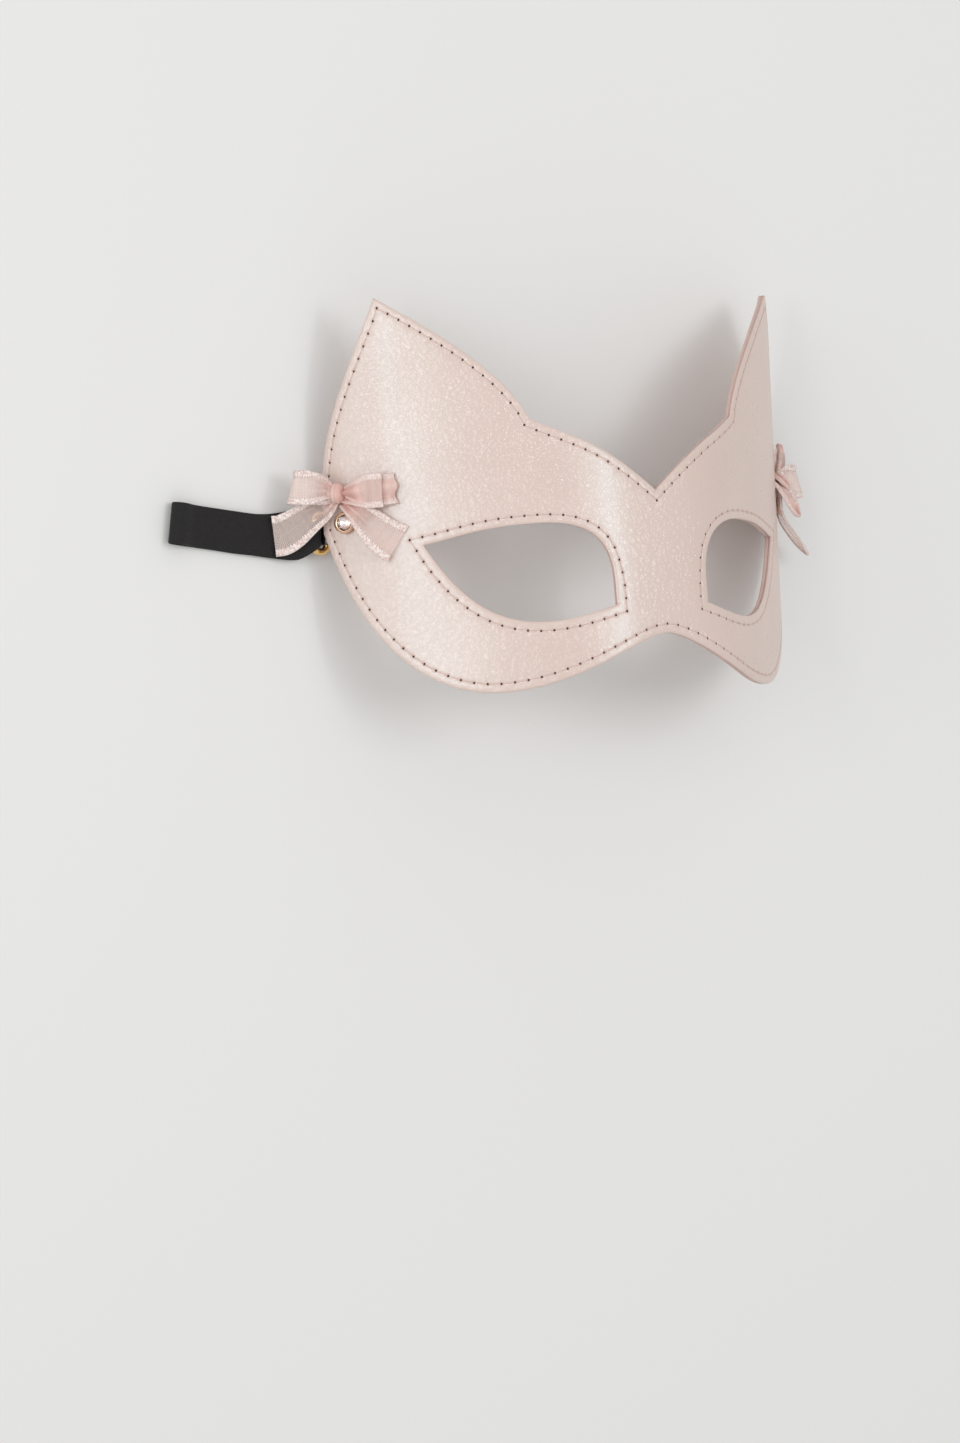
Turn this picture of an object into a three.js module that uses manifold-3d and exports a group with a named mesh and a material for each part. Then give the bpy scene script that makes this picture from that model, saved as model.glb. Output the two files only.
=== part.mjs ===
// A moulded leather cat mask with pointed ears, two ribbon bows, crystal rivets and an elastic
// strap, lying face up as it does when it is put down. Millimetres, +Z up.
// Mask terms: s runs along the leather from the centre line to a temple, t runs up the face from
// the outer corners of the eyes, and h is the height over the front surface.

import * as THREE from 'three';
import { mergeVertices } from 'three/addons/utils/BufferGeometryUtils.js';
import Module from 'manifold-3d';

// Bend of the leather across the face: arcs that meet smoothly, each from its start to the next
const BRIDGE = { start: 0, radius: 195 };
const NOSE_SIDE = { start: 9, radius: 51 };
const CHEEK = { start: 33, radius: 178 };
const TEMPLE = { start: 80, radius: 60 };
const WRAP_FADE = 0.0016; // share of its depth that the bend loses with each mm up the face

// Flat half pattern
const HALF_WIDTH = 106.5;
const BROW_DIP = 11.9;
const EAR_NOTCH = { s: 39.5, t: 35 };
const EAR_TIP = { s: 85.8, t: 75.2 };
const TEMPLE_TOP = 20;
const TEMPLE_FOOT = 7;
const LOBE = { s: 52.5, t: -46 };
const NOSE_ARCH = -31.3;
const EYE_OUTER = 74;
const EYE_INNER = 17;
const EYE_TOP = { s: 41, t: 3.7 };
const EYE_SIDE_TOP = -15;
const EYE_SIDE_FOOT = -22.2;
const COLUMN_STEP = 3.8;
const STEEP_STEPS = [0.3, 1.1, 2.3];

// Leather layers, by height over the front surface
const FACE_BACK = -1.05;
const LINING_FRONT = -1.35;
const LINING_BACK = -2.4;
const LINING_INSET = 0.7;
const NEAR_LIFT = 5.8; // the strap, its ring and its tab lie under the near temple

// Crystal rivet
const RIVET = { s: 98, near: 9.3, far: 12 };
const BEZEL_RADIUS = 3.3;
const BEZEL_TOP = 1.6;
const SEAT_RADIUS = 2.5;
const SEAT_FLOOR = 0.7;
const CRYSTAL_RADIUS = 2.3;
const CRYSTAL_TABLE = 1.3;
const CRYSTAL_TOP = 2.1;
const POST_RADIUS = 1;
const HOLE_RADIUS = 1.4;
const CAP_RADIUS = 2.3;
const CAP_FRONT = -5;
const CAP_BACK = -5.7;

// Tab, folded round the strap ring with both ends under the rivet
const TAB_THICKNESS = 0.7;
const TAB_WIDTH = 7;
const TAB_OUTER_LAYER = -3.15;
const TAB_INNER_LAYER = -4.2;
const WIRE_RADIUS = 1.1;
const RING_BARS = 4.6;
const RING_LENGTH = 11;
const RING_CORNER = 2;
const BAR_GAP = 0.2;

// Elastic strap
const STRAP_WIDTH = 12.5;
const STRAP_THICKNESS = 0.9;
const STRAP_GATHERED = 7.2;
const STRAP_SLOPE = -0.145;
const STRAP_FOLD_X = -136.2;
const FOLD_RADIUS = 2.2;

// Ribbon
const RIBBON_WIDTH = 10.4;
const RIBBON_PINCH = 4.4;
const RIBBON_THICKNESS = 0.5;
const KNOT = { s: 98, near: 17.5, far: 19, h: 2.35 };
const KNOT_SIZE = { along: 2.6, up: 2.8, out: 2 };

const wasm = await Module();
wasm.setup();

const v3 = (x, y, z) => new THREE.Vector3(x, y, z);

// Section across the face

const ARCS = [BRIDGE, NOSE_SIDE, CHEEK, TEMPLE];

function sectionAt(distance) {
  let x = 0;
  let z = 0;
  let angle = 0;
  ARCS.forEach((arc, i) => {
    const end = i + 1 < ARCS.length ? ARCS[i + 1].start : Infinity;
    const length = THREE.MathUtils.clamp(distance, arc.start, end) - arc.start;
    const turned = angle + length / arc.radius;
    x += arc.radius * (Math.sin(turned) - Math.sin(angle));
    z += arc.radius * (Math.cos(turned) - Math.cos(angle));
    angle = turned;
  });
  return { x, z, angle };
}

// A point of the mask, in its own upright frame, on the side given by the sign of s
function maskPoint(s, t, h) {
  const side = Math.sign(s) || 1;
  const { x, z, angle } = sectionAt(Math.abs(s));
  const wrap = 1 - WRAP_FADE * t;
  const normal = v3(
    side * wrap * Math.sin(angle),
    WRAP_FADE * z * Math.cos(angle),
    Math.cos(angle),
  ).normalize();
  return v3(side * x, t, z * wrap).addScaledVector(normal, h);
}

// Rest: the straight temple edges lie level, the near one raised on the strap and the tab
const templeEdge = sectionAt(HALF_WIDTH);
const restTilt = Math.atan(WRAP_FADE * -templeEdge.z);
const restRoll = Math.asin(NEAR_LIFT / (2 * templeEdge.x));
const rest = new THREE.Matrix4()
  .makeRotationY(restRoll)
  .multiply(new THREE.Matrix4().makeRotationX(-restTilt));
const edgeDepth = Math.min(
  ...[TEMPLE_FOOT, TEMPLE_TOP].map((t) => maskPoint(HALF_WIDTH, t, FACE_BACK).applyMatrix4(rest).z),
);
rest.premultiply(new THREE.Matrix4().makeTranslation(0, 0, -edgeDepth));

const onMask = (s, t, h) => maskPoint(s, t, h).applyMatrix4(rest);

// Outline chains of the half pattern, each single valued in s

const cubic = (...points) => new THREE.CubicBezierCurve(
  ...points.map(([s, t]) => new THREE.Vector2(s, t)),
);
const UPPER = [
  cubic([0, BROW_DIP], [19.2, 27.6], [24.2, 27.6], [EAR_NOTCH.s, EAR_NOTCH.t]),
  cubic([EAR_NOTCH.s, EAR_NOTCH.t], [46.3, 50.8], [70.4, 65.8], [EAR_TIP.s, EAR_TIP.t]),
  cubic([EAR_TIP.s, EAR_TIP.t], [95.8, 54], [HALF_WIDTH, 38.3], [HALF_WIDTH, TEMPLE_TOP]),
];
const LOWER = [
  cubic([0, NOSE_ARCH], [9.9, NOSE_ARCH], [28.3, LOBE.t], [LOBE.s, LOBE.t]),
  cubic([LOBE.s, LOBE.t], [87.5, LOBE.t], [102.5, -2], [HALF_WIDTH, TEMPLE_FOOT]),
];
const EYE_UPPER = [
  cubic([EYE_INNER, EYE_SIDE_TOP], [EYE_INNER, 1.3], [28.7, EYE_TOP.t], [EYE_TOP.s, EYE_TOP.t]),
  cubic([EYE_TOP.s, EYE_TOP.t], [57, EYE_TOP.t], [61, 2], [EYE_OUTER, 0]),
];
const EYE_LOWER = [
  cubic([EYE_INNER, EYE_SIDE_FOOT], [45.3, -30.9], [60, -24.5], [EYE_OUTER, 0]),
];

function chainHeight(chain, s) {
  const curve = chain.find((part) => s <= part.v3.x) ?? chain.at(-1);
  let low = 0;
  let high = 1;
  for (let i = 0; i < 40; i += 1) {
    const middle = (low + high) / 2;
    if (curve.getPoint(middle).x < s) low = middle;
    else high = middle;
  }
  return curve.getPoint((low + high) / 2).y;
}

// The chain moved by a margin towards the side given, +1 up or -1 down
function movedHeight(chain, s, margin, side) {
  if (margin === 0) return chainHeight(chain, s);
  const first = chain[0].v0.x;
  const last = chain.at(-1).v3.x;
  const samples = 8;
  let best = -Infinity;
  for (let i = -samples; i <= samples; i += 1) {
    const q = s + (margin * i) / samples;
    const mirrored = first === 0 ? Math.abs(q) : q;
    if (mirrored >= first - 1e-9 && mirrored <= last + 1e-9) {
      const reach = Math.sqrt(Math.max(0, margin ** 2 - (q - s) ** 2));
      best = Math.max(best, side * chainHeight(chain, mirrored) + reach);
    }
  }
  return side * best;
}

function columnPlaces(margin) {
  const edge = HALF_WIDTH - margin;
  const eyeStart = EYE_INNER - margin;
  const anchors = [0, eyeStart, EAR_NOTCH.s, LOBE.s, EYE_OUTER + margin, EAR_TIP.s, edge];
  const places = new Set();
  for (let i = 0; i + 1 < anchors.length; i += 1) {
    const steps = Math.ceil((anchors[i + 1] - anchors[i]) / COLUMN_STEP);
    for (let k = 0; k <= steps; k += 1) {
      places.add(THREE.MathUtils.lerp(anchors[i], anchors[i + 1], k / steps));
    }
  }
  STEEP_STEPS.forEach((step) => {
    places.add(eyeStart + step);
    places.add(edge - step);
  });
  return [...places].sort((a, b) => a - b);
}

// Triangles between two columns of points, each sorted upwards
function zip(left, right) {
  const triangles = [];
  let i = 0;
  let k = 0;
  while (i + 1 < left.length || k + 1 < right.length) {
    const climbLeft = k + 1 >= right.length
      || (i + 1 < left.length && left[i + 1][1] < right[k + 1][1]);
    if (climbLeft) {
      triangles.push([left[i], right[k], left[i + 1]]);
      i += 1;
    } else {
      triangles.push([left[i], right[k], right[k + 1]]);
      k += 1;
    }
  }
  return triangles;
}

function halfPattern(margin) {
  const column = (s) => {
    const foot = [s, movedHeight(LOWER, s, margin, 1)];
    const head = [s, movedHeight(UPPER, s, margin, -1)];
    if (s < EYE_INNER - margin - 1e-6 || s > EYE_OUTER + margin + 1e-6) {
      return { low: [foot, head], high: null, all: [foot, head] };
    }
    const eyeFoot = [s, movedHeight(EYE_LOWER, s, margin, -1)];
    const eyeHead = [s, movedHeight(EYE_UPPER, s, margin, 1)];
    const closed = eyeHead[1] - eyeFoot[1] < 1e-3;
    const all = closed ? [foot, eyeFoot, head] : [foot, eyeFoot, eyeHead, head];
    return { low: [foot, eyeFoot], high: [closed ? eyeFoot : eyeHead, head], all };
  };
  const columns = columnPlaces(margin).map(column);
  const triangles = [];
  for (let i = 0; i + 1 < columns.length; i += 1) {
    const [a, b] = [columns[i], columns[i + 1]];
    if (a.high && b.high) triangles.push(...zip(a.low, b.low), ...zip(a.high, b.high));
    else triangles.push(...zip(a.all, b.all));
  }
  return triangles;
}

// A closed body from a flat pattern, laid on the mask between two heights
function sheet(margin, front, back) {
  const half = halfPattern(margin);
  const mirrored = half.map(([a, b, c]) => [a, c, b].map(([s, t]) => [-s, t]));
  const index = new Map();
  const places = [];
  const vertex = ([s, t]) => {
    const key = `${Math.round(s * 1e4)},${Math.round(t * 1e4)}`;
    if (!index.has(key)) {
      index.set(key, places.length);
      places.push([s, t]);
    }
    return index.get(key);
  };
  const flat = [...half, ...mirrored].map((triangle) => triangle.map(vertex));
  const count = places.length;
  const positions = [front, back].flatMap(
    (h) => places.flatMap(([s, t]) => onMask(s, t, h).toArray()),
  );
  const edges = new Set(flat.flatMap(([a, b, c]) => [`${a},${b}`, `${b},${c}`, `${c},${a}`]));
  const faces = flat.flatMap(([a, b, c]) => [a, b, c, count + a, count + c, count + b]);
  edges.forEach((edge) => {
    const [a, b] = edge.split(',').map(Number);
    if (!edges.has(`${b},${a}`)) faces.push(a, count + a, count + b, a, count + b, b);
  });
  const geometry = new THREE.BufferGeometry();
  geometry.setAttribute('position', new THREE.Float32BufferAttribute(positions, 3));
  geometry.setIndex(faces);
  return geometry;
}

// Sweep of a section along stations, each with a place and its wide and thick directions

const RECTANGLE = [[-0.5, -0.5], [0.5, -0.5], [0.5, 0.5], [-0.5, 0.5]];
const roundSection = (sides) => Array.from({ length: sides }, (_, i) => {
  const angle = (2 * Math.PI * i) / sides;
  return [Math.cos(angle), Math.sin(angle)];
});

function sweep(stations, section, closed = false) {
  const n = section.length;
  const count = stations.length;
  const positions = stations.flatMap(({ at, wide, thick, width, depth }) => section.flatMap(
    ([a, b]) => at.clone()
      .addScaledVector(wide, a * width)
      .addScaledVector(thick, b * depth)
      .toArray(),
  ));
  const faces = [];
  for (let i = 0; i < (closed ? count : count - 1); i += 1) {
    const here = i * n;
    const next = ((i + 1) % count) * n;
    for (let k = 0; k < n; k += 1) {
      const m = (k + 1) % n;
      faces.push(here + k, here + m, next + m, here + k, next + m, next + k);
    }
  }
  for (let k = 1; !closed && k + 1 < n; k += 1) {
    const last = (count - 1) * n;
    faces.push(0, k + 1, k, last, last + k, last + k + 1);
  }
  const geometry = new THREE.BufferGeometry();
  geometry.setAttribute('position', new THREE.Float32BufferAttribute(positions, 3));
  geometry.setIndex(faces);
  return geometry;
}

// Stations along a path of points, each with the direction that its width leans towards
function stationsAlong(path, width, depth, closed = false) {
  return path.map(({ at, lean, wide: own }, i) => {
    const before = path[closed ? (i - 1 + path.length) % path.length : Math.max(i - 1, 0)].at;
    const after = path[closed ? (i + 1) % path.length : Math.min(i + 1, path.length - 1)].at;
    const along = after.clone().sub(before).normalize();
    const thick = along.clone().cross(lean).normalize();
    const wide = thick.clone().cross(along).normalize();
    return { at, wide, thick, width: own ?? width, depth };
  });
}

// A smooth path through keys, each with its place, its lean and its width
function smoothPath(keys, steps) {
  const line = (pick) => new THREE.CatmullRomCurve3(keys.map(pick), false, 'centripetal');
  const places = line(({ at }) => at);
  const at = (i) => {
    const u = (i / steps) * (keys.length - 1);
    const k = Math.min(Math.floor(u), keys.length - 2);
    return { u: i / steps, k, part: u - k };
  };
  return Array.from({ length: steps + 1 }, (_, i) => {
    const { u, k, part } = at(i);
    const blend = (pick) => THREE.MathUtils.lerp(pick(keys[k]), pick(keys[k + 1]), part);
    const lean = keys[k].lean.clone().lerp(keys[k + 1].lean, part).normalize();
    return { at: places.getPoint(u), lean, wide: blend(({ wide }) => wide) };
  });
}

// Solids that need a join or a cut

function toSolid(geometry) {
  const plain = geometry.clone();
  plain.deleteAttribute('normal');
  plain.deleteAttribute('uv');
  const merged = mergeVertices(plain, 1e-4);
  return new wasm.Manifold(new wasm.Mesh({
    numProp: 3,
    vertProperties: new Float32Array(merged.attributes.position.array),
    triVerts: new Uint32Array(merged.index.array),
  }));
}

function fromSolid(solid) {
  const { vertProperties, triVerts } = solid.getMesh();
  const geometry = new THREE.BufferGeometry();
  geometry.setAttribute('position', new THREE.Float32BufferAttribute(vertProperties, 3));
  geometry.setIndex([...triVerts]);
  return geometry;
}

const joined = (...parts) => fromSolid(parts.map(toSolid).reduce((a, b) => a.add(b)));
const cut = (body, ...tools) => fromSolid(
  tools.map(toSolid).reduce((solid, tool) => solid.subtract(tool), toSolid(body)),
);

// Turned pieces stand on the mask along its normal at a place

function standOnMask(geometry, s, t) {
  const foot = onMask(s, t, 0);
  const up = onMask(s, t, 1).sub(foot).normalize();
  const turn = new THREE.Quaternion().setFromUnitVectors(v3(0, 1, 0), up);
  return geometry.applyQuaternion(turn).translate(foot.x, foot.y, foot.z);
}

const lathe = (profile, sides) => new THREE.LatheGeometry(
  profile.map(([r, h]) => new THREE.Vector2(r, h)),
  sides,
);

const rivetHeight = (side) => (side < 0 ? RIVET.near : RIVET.far);
const knotHeight = (side) => (side < 0 ? KNOT.near : KNOT.far);

function rivet(side) {
  const profile = [
    [0, CAP_BACK],
    [CAP_RADIUS * 0.7, CAP_BACK + 0.15],
    [CAP_RADIUS, CAP_FRONT - 0.35],
    [CAP_RADIUS, CAP_FRONT],
    [POST_RADIUS, CAP_FRONT],
    [POST_RADIUS, 0.3],
    [BEZEL_RADIUS, 0.3],
    [BEZEL_RADIUS, BEZEL_TOP - 0.5],
    [BEZEL_RADIUS - 0.35, BEZEL_TOP],
    [SEAT_RADIUS, BEZEL_TOP],
    [SEAT_RADIUS, SEAT_FLOOR],
    [0, SEAT_FLOOR],
  ];
  return standOnMask(lathe(profile, 20), side * RIVET.s, rivetHeight(side));
}

function crystal(side) {
  const profile = [
    [0, SEAT_FLOOR + 0.25],
    [CRYSTAL_RADIUS, BEZEL_TOP - 0.35],
    [CRYSTAL_RADIUS, BEZEL_TOP - 0.15],
    [CRYSTAL_TABLE, CRYSTAL_TOP],
    [0, CRYSTAL_TOP],
  ];
  return standOnMask(lathe(profile, 8), side * RIVET.s, rivetHeight(side));
}

function postHole(side) {
  const length = 14;
  return standOnMask(
    new THREE.CylinderGeometry(HOLE_RADIUS, HOLE_RADIUS, length, 14),
    side * RIVET.s,
    rivetHeight(side),
  );
}

// Strap rings: flat rounded rectangles of wire, with one bar for the tab and one for the strap

const RIGHT = v3(1, 0, 0);
const UP_FACE = v3(0, 1, 0);
const UP = v3(0, 0, 1);
const strapGrip = WIRE_RADIUS + BAR_GAP + STRAP_THICKNESS / 2;
const tabGrip = WIRE_RADIUS + BAR_GAP + TAB_THICKNESS / 2;

// The frame of a ring from the middle of its tab bar, turned in plan
function ringFrame(tabBar, turn) {
  const across = RIGHT.clone().applyAxisAngle(UP, THREE.MathUtils.degToRad(turn));
  const along = UP_FACE.clone().applyAxisAngle(UP, THREE.MathUtils.degToRad(turn));
  return {
    across,
    along,
    tabBar,
    strapBar: tabBar.clone().addScaledVector(across, -RING_BARS),
    centre: tabBar.clone().addScaledVector(across, -RING_BARS / 2),
  };
}

const nearRing = ringFrame(v3(-82.1, 1.8, 3.35), -4);
const farRing = ringFrame(v3(70.8, 10.6, 2.25), 0);

function ring({ centre, across, along }) {
  const path = [];
  const steps = 4;
  [[1, 1], [-1, 1], [-1, -1], [1, -1]].forEach(([a, b], i) => {
    for (let k = 0; k <= steps; k += 1) {
      const angle = (Math.PI / 2) * (i + k / steps);
      const u = a * (RING_BARS / 2 - RING_CORNER) + RING_CORNER * Math.cos(angle);
      const v = b * (RING_LENGTH / 2 - RING_CORNER) + RING_CORNER * Math.sin(angle);
      path.push({ at: centre.clone().addScaledVector(across, u).addScaledVector(along, v), lean: UP });
    }
  });
  return sweep(stationsAlong(path, WIRE_RADIUS, WIRE_RADIUS, true), roundSection(8), true);
}

// Keys on an arc round a bar, from one angle to another, measured from the outside of the ring
function roundBar(bar, { across, along }, radius, from, to, wide) {
  const steps = 5;
  return Array.from({ length: steps + 1 }, (_, i) => {
    const angle = THREE.MathUtils.degToRad(THREE.MathUtils.lerp(from, to, i / steps));
    const at = bar.clone()
      .addScaledVector(across, radius * Math.cos(angle))
      .addScaledVector(UP, radius * Math.sin(angle));
    return { at, lean: along, wide };
  });
}

// Tab: down the inside of the leather, round the ring's bar and back up to the rivet, with the
// places that each layer passes between the leather and the bar
function tab(side, frame, { from, to, outer, inner }) {
  const slant = onMask(side * 92, 17, 0).sub(onMask(side * 92, 7, 0)).normalize();
  const leg = (s, h) => ({
    at: onMask(side * s, rivetHeight(side), h),
    lean: slant,
    wide: s < 94 ? TAB_WIDTH * 0.7 : TAB_WIDTH,
  });
  const between = ([x, y, z]) => ({ at: v3(x, y, z), lean: frame.along, wide: TAB_WIDTH });
  const keys = [
    leg(92.6, TAB_OUTER_LAYER),
    leg(94.5, TAB_OUTER_LAYER),
    leg(RIVET.s, TAB_OUTER_LAYER),
    leg(100, TAB_OUTER_LAYER),
    ...outer.map(between),
    ...roundBar(frame.tabBar, frame, tabGrip, from, to, TAB_WIDTH),
    ...inner.map(between),
    leg(100, TAB_INNER_LAYER),
    leg(RIVET.s, TAB_INNER_LAYER),
    leg(94.5, TAB_INNER_LAYER),
    leg(92.6, TAB_INNER_LAYER),
  ];
  const path = smoothPath(keys, 56);
  return cut(sweep(stationsAlong(path, TAB_WIDTH, TAB_THICKNESS), RECTANGLE), postHole(side));
}

const nearTabPath = {
  from: 160,
  to: 330,
  outer: [[-80.9, 3.2, 8.2], [-82.2, 2.2, 5.7]],
  inner: [[-79.9, 1.9, 5.1], [-79.3, 2.8, 7.6]],
};
const farTabPath = {
  from: -85,
  to: -265,
  outer: [[76.5, 8.4, 2.95], [76.1, 9.2, 1.65], [74.4, 10.2, 1.05]],
  inner: [[72.5, 10.4, 3.3], [73.6, 10, 2.25], [74.6, 9.5, 2.05], [75.3, 8.8, 2.8]],
};

// Strap: from round the near ring out over the table, folded back under itself, in under the
// near temple and across to the far ring

const strapLine = (x) => 1.05 + STRAP_SLOPE * (x + 100);

const strapLean = v3(-STRAP_SLOPE, 1, 0).normalize();

function strapKey(x, y, z, wide = STRAP_WIDTH) {
  return { at: v3(x, y, z), lean: x < -100 ? strapLean : UP_FACE, wide };
}

function strap() {
  const low = STRAP_THICKNESS / 2;
  const upper = STRAP_THICKNESS * 1.5 + 0.35;
  const nearBar = nearRing.strapBar;
  const nearFoot = nearBar.z - strapGrip;
  const nearEnd = [
    strapKey(nearBar.x - 9, strapLine(nearBar.x - 9), nearFoot, STRAP_WIDTH - 0.8),
    strapKey(nearBar.x - 5, strapLine(nearBar.x - 5), nearFoot, 11),
    strapKey(nearBar.x - 2, nearBar.y - 0.1, nearFoot, 9),
    ...roundBar(nearBar, nearRing, strapGrip, -80, 90, STRAP_GATHERED),
    strapKey(nearBar.x - 2.6, strapLine(nearBar.x - 2.6) + 1, nearBar.z + strapGrip - 0.5, 8.4),
    strapKey(nearBar.x - 6, strapLine(nearBar.x - 6), nearFoot + STRAP_THICKNESS + 0.9, 11.6),
    strapKey(nearBar.x - 10, strapLine(nearBar.x - 10), nearFoot + STRAP_THICKNESS + 0.35),
    strapKey(nearBar.x - 14, strapLine(nearBar.x - 14), upper + 0.1),
  ];
  const onTop = (x, z) => strapKey(x, strapLine(x), z);
  const fold = [65, 100, 140, 180, 220, 250, 270].map((degrees) => {
    const angle = THREE.MathUtils.degToRad(degrees);
    const middle = STRAP_FOLD_X + STRAP_THICKNESS / 2 + FOLD_RADIUS;
    return onTop(
      middle + FOLD_RADIUS * Math.cos(angle),
      low + 0.03 + FOLD_RADIUS + FOLD_RADIUS * Math.sin(angle),
    );
  });
  const run = [
    ...[-107, -114, -121].map((x) => onTop(x, upper)),
    onTop(-128, upper + 0.7),
    ...fold,
    ...[-130, -120, -110].map((x) => onTop(x, low)),
    strapKey(-101, 2, low),
    strapKey(-92, 3, low),
    strapKey(-82, 5.2, low),
    strapKey(-70, 7.6, low),
    strapKey(-55, 9.6, low),
    strapKey(-35, 10.8, low),
    strapKey(-10, 10.9, low),
    strapKey(10, 10.2, low),
    strapKey(24, 8.4, low),
    strapKey(37, 7.2, low),
    strapKey(49, 7.8, low),
  ];
  const farBar = farRing.strapBar;
  const farFoot = farBar.z - strapGrip;
  const farEnd = [
    strapKey(farBar.x - 6.6, farBar.y - 0.7, farFoot, 12),
    strapKey(farBar.x - 2.6, farBar.y, farFoot, 9.4),
    ...roundBar(farBar, farRing, strapGrip, -80, 100, STRAP_GATHERED),
    strapKey(farBar.x - 3.6, farBar.y, farFoot + STRAP_THICKNESS + 0.9, 10),
    strapKey(farBar.x - 7, farBar.y - 0.7, farFoot + STRAP_THICKNESS + 0.35, 11.6),
    strapKey(farBar.x - 12, farBar.y - 1.2, farFoot + STRAP_THICKNESS + 0.25, 11.8),
  ];
  const path = smoothPath([...nearEnd, ...run, ...farEnd], 120);
  return sweep(stationsAlong(path, STRAP_WIDTH, STRAP_THICKNESS), RECTANGLE);
}

// Bows: two loops, two tails and a knot of one ribbon, tied a little differently on each side

function ribbonStrip(keys, steps) {
  return sweep(
    stationsAlong(smoothPath(keys, steps), RIBBON_WIDTH, RIBBON_THICKNESS),
    RECTANGLE,
  );
}

// Keys over the leather, and keys in the open by place
const upTemple = (side) => onMask(side * 90, 20, 0).sub(onMask(side * 90, 10, 0)).normalize();
const overFace = (side, lean) => (s, t, h, wide) => ({ at: onMask(side * s, t, h), lean, wide });
const inOpen = (lean) => (x, y, z, wide, turned = lean) => ({
  at: v3(x, y, z),
  lean: v3(...turned),
  wide,
});

function nearBow() {
  const face = overFace(-1, upTemple(-1));
  const loopToNose = ribbonStrip([
    face(97, 17.4, 2.6, RIBBON_PINCH),
    face(92.5, 17.6, 4.6, 7.4),
    face(87, 17.6, 4.8, RIBBON_WIDTH),
    face(83.2, 17.6, 3.7, RIBBON_WIDTH),
    face(81.8, 17.6, 2.4, RIBBON_WIDTH),
    face(83.4, 17.6, 1.1, RIBBON_WIDTH),
    face(88, 17.6, 0.9, RIBBON_WIDTH),
    face(93, 17.6, 1.1, 7.4),
    face(97, 17.5, 1.9, RIBBON_PINCH),
  ], 16);
  const tailToNose = ribbonStrip([
    face(96.4, 15.8, 2.6, RIBBON_PINCH),
    face(92.6, 12, 3.5, 7.4),
    face(88.6, 7.6, 3.3, 10),
    face(85, 4.2, 2.2, 11.6),
    face(81.2, 2.2, 1.3, 12),
  ], 10);
  const out = inOpen([0.29, 0.957, 0]);
  const loopOut = ribbonStrip([
    out(-84, 13.2, 15.2, RIBBON_PINCH),
    out(-89, 14.6, 15, 8),
    out(-94.4, 15.6, 13, RIBBON_WIDTH),
    out(-97.6, 15.8, 10.6, RIBBON_WIDTH),
    out(-97.9, 15.8, 9.2, RIBBON_WIDTH),
    out(-96.4, 15.7, 8.2, RIBBON_WIDTH),
    out(-91.6, 15, 10, 9.6),
    out(-87, 13.8, 12.6, 6.6),
    out(-84, 13.1, 14.2, RIBBON_PINCH),
  ], 16);
  const tailOut = ribbonStrip([
    out(-84, 12.4, 14, RIBBON_PINCH, [-0.3, 1, 0.1]),
    out(-88, 9.4, 11, 6.8, [-0.3, 1, 0.1]),
    out(-92.2, 5.8, 7.6, 9.2, [-0.25, 1, 0.1]),
    out(-95.8, 2.8, 5.2, 11.4, [-0.12, 1, 0.05]),
    out(-98.4, 1.4, 4.1, 12, [-0.02, 1, 0]),
    out(-101, 1.1, 3.5, 12.2, [0, 1, 0]),
  ], 12);
  return joined(knot(-1), loopToNose, tailToNose, loopOut, tailOut);
}

function farBow() {
  const along = onMask(103, 20, 0).sub(onMask(93, 20, 0)).normalize();
  const face = overFace(1, along);
  const loopUp = ribbonStrip([
    face(98, 20, 2.4, RIBBON_PINCH),
    face(98, 23.4, 3.2, 8.4),
    face(98, 27, 3, RIBBON_WIDTH),
    face(98, 30.2, 2.3, RIBBON_WIDTH),
    face(98, 30.8, 1.7, RIBBON_WIDTH),
    face(98, 30, 1.1, RIBBON_WIDTH),
    face(98, 26.4, 0.9, RIBBON_WIDTH),
    face(98, 22.6, 1.1, 8.4),
    face(98, 20, 1.8, RIBBON_PINCH),
  ], 16);
  const open = inOpen([-0.29, 0.957, 0]);
  const loopOut = ribbonStrip([
    open(80.6, 14.7, 9.6, RIBBON_PINCH),
    open(83.6, 14.9, 9.8, 8.4),
    open(86.4, 14.8, 8.4, RIBBON_WIDTH),
    open(88, 14.7, 6.6, RIBBON_WIDTH),
    open(88.1, 14.7, 5.4, RIBBON_WIDTH),
    open(86.8, 14.7, 4.7, RIBBON_WIDTH),
    open(84.4, 14.8, 5.4, 9.6),
    open(81.8, 14.7, 7.3, 6.6),
    open(80.6, 14.6, 8.6, RIBBON_PINCH),
  ], 16);
  const onEdge = inOpen([-0.46, 0.1, 0.88]);
  const tailShort = ribbonStrip([
    onEdge(81, 13.4, 9.4, RIBBON_PINCH),
    onEdge(83.4, 10.4, 8.8, 7.4),
    onEdge(85.8, 7.2, 8.1, 9),
    onEdge(88, 4.4, 7.4, 4.6),
  ], 9);
  const tailLong = ribbonStrip([
    onEdge(79.8, 12.4, 10, RIBBON_PINCH, [-0.5, 0, 0.87]),
    onEdge(78.9, 8.4, 12, 3.8, [-0.5, 0, 0.87]),
    onEdge(80.6, 4.6, 10.6, 6, [-0.42, 0.2, 0.88]),
    onEdge(84.4, 0.4, 7.6, 8.4, [-0.42, 0.22, 0.87]),
    onEdge(88.6, -3.8, 5.2, 6.4, [-0.42, 0.2, 0.88]),
    onEdge(92.6, -7.8, 3, 2, [-0.42, 0.2, 0.88]),
  ], 13);
  return joined(knot(1), loopUp, loopOut, tailShort, tailLong);
}

function knot(side) {
  const ball = new THREE.SphereGeometry(1, 10, 7);
  ball.scale(KNOT_SIZE.along, KNOT_SIZE.out, KNOT_SIZE.up);
  ball.translate(0, KNOT.h, 0);
  return standOnMask(ball, side * KNOT.s, knotHeight(side));
}

// Materials

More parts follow.
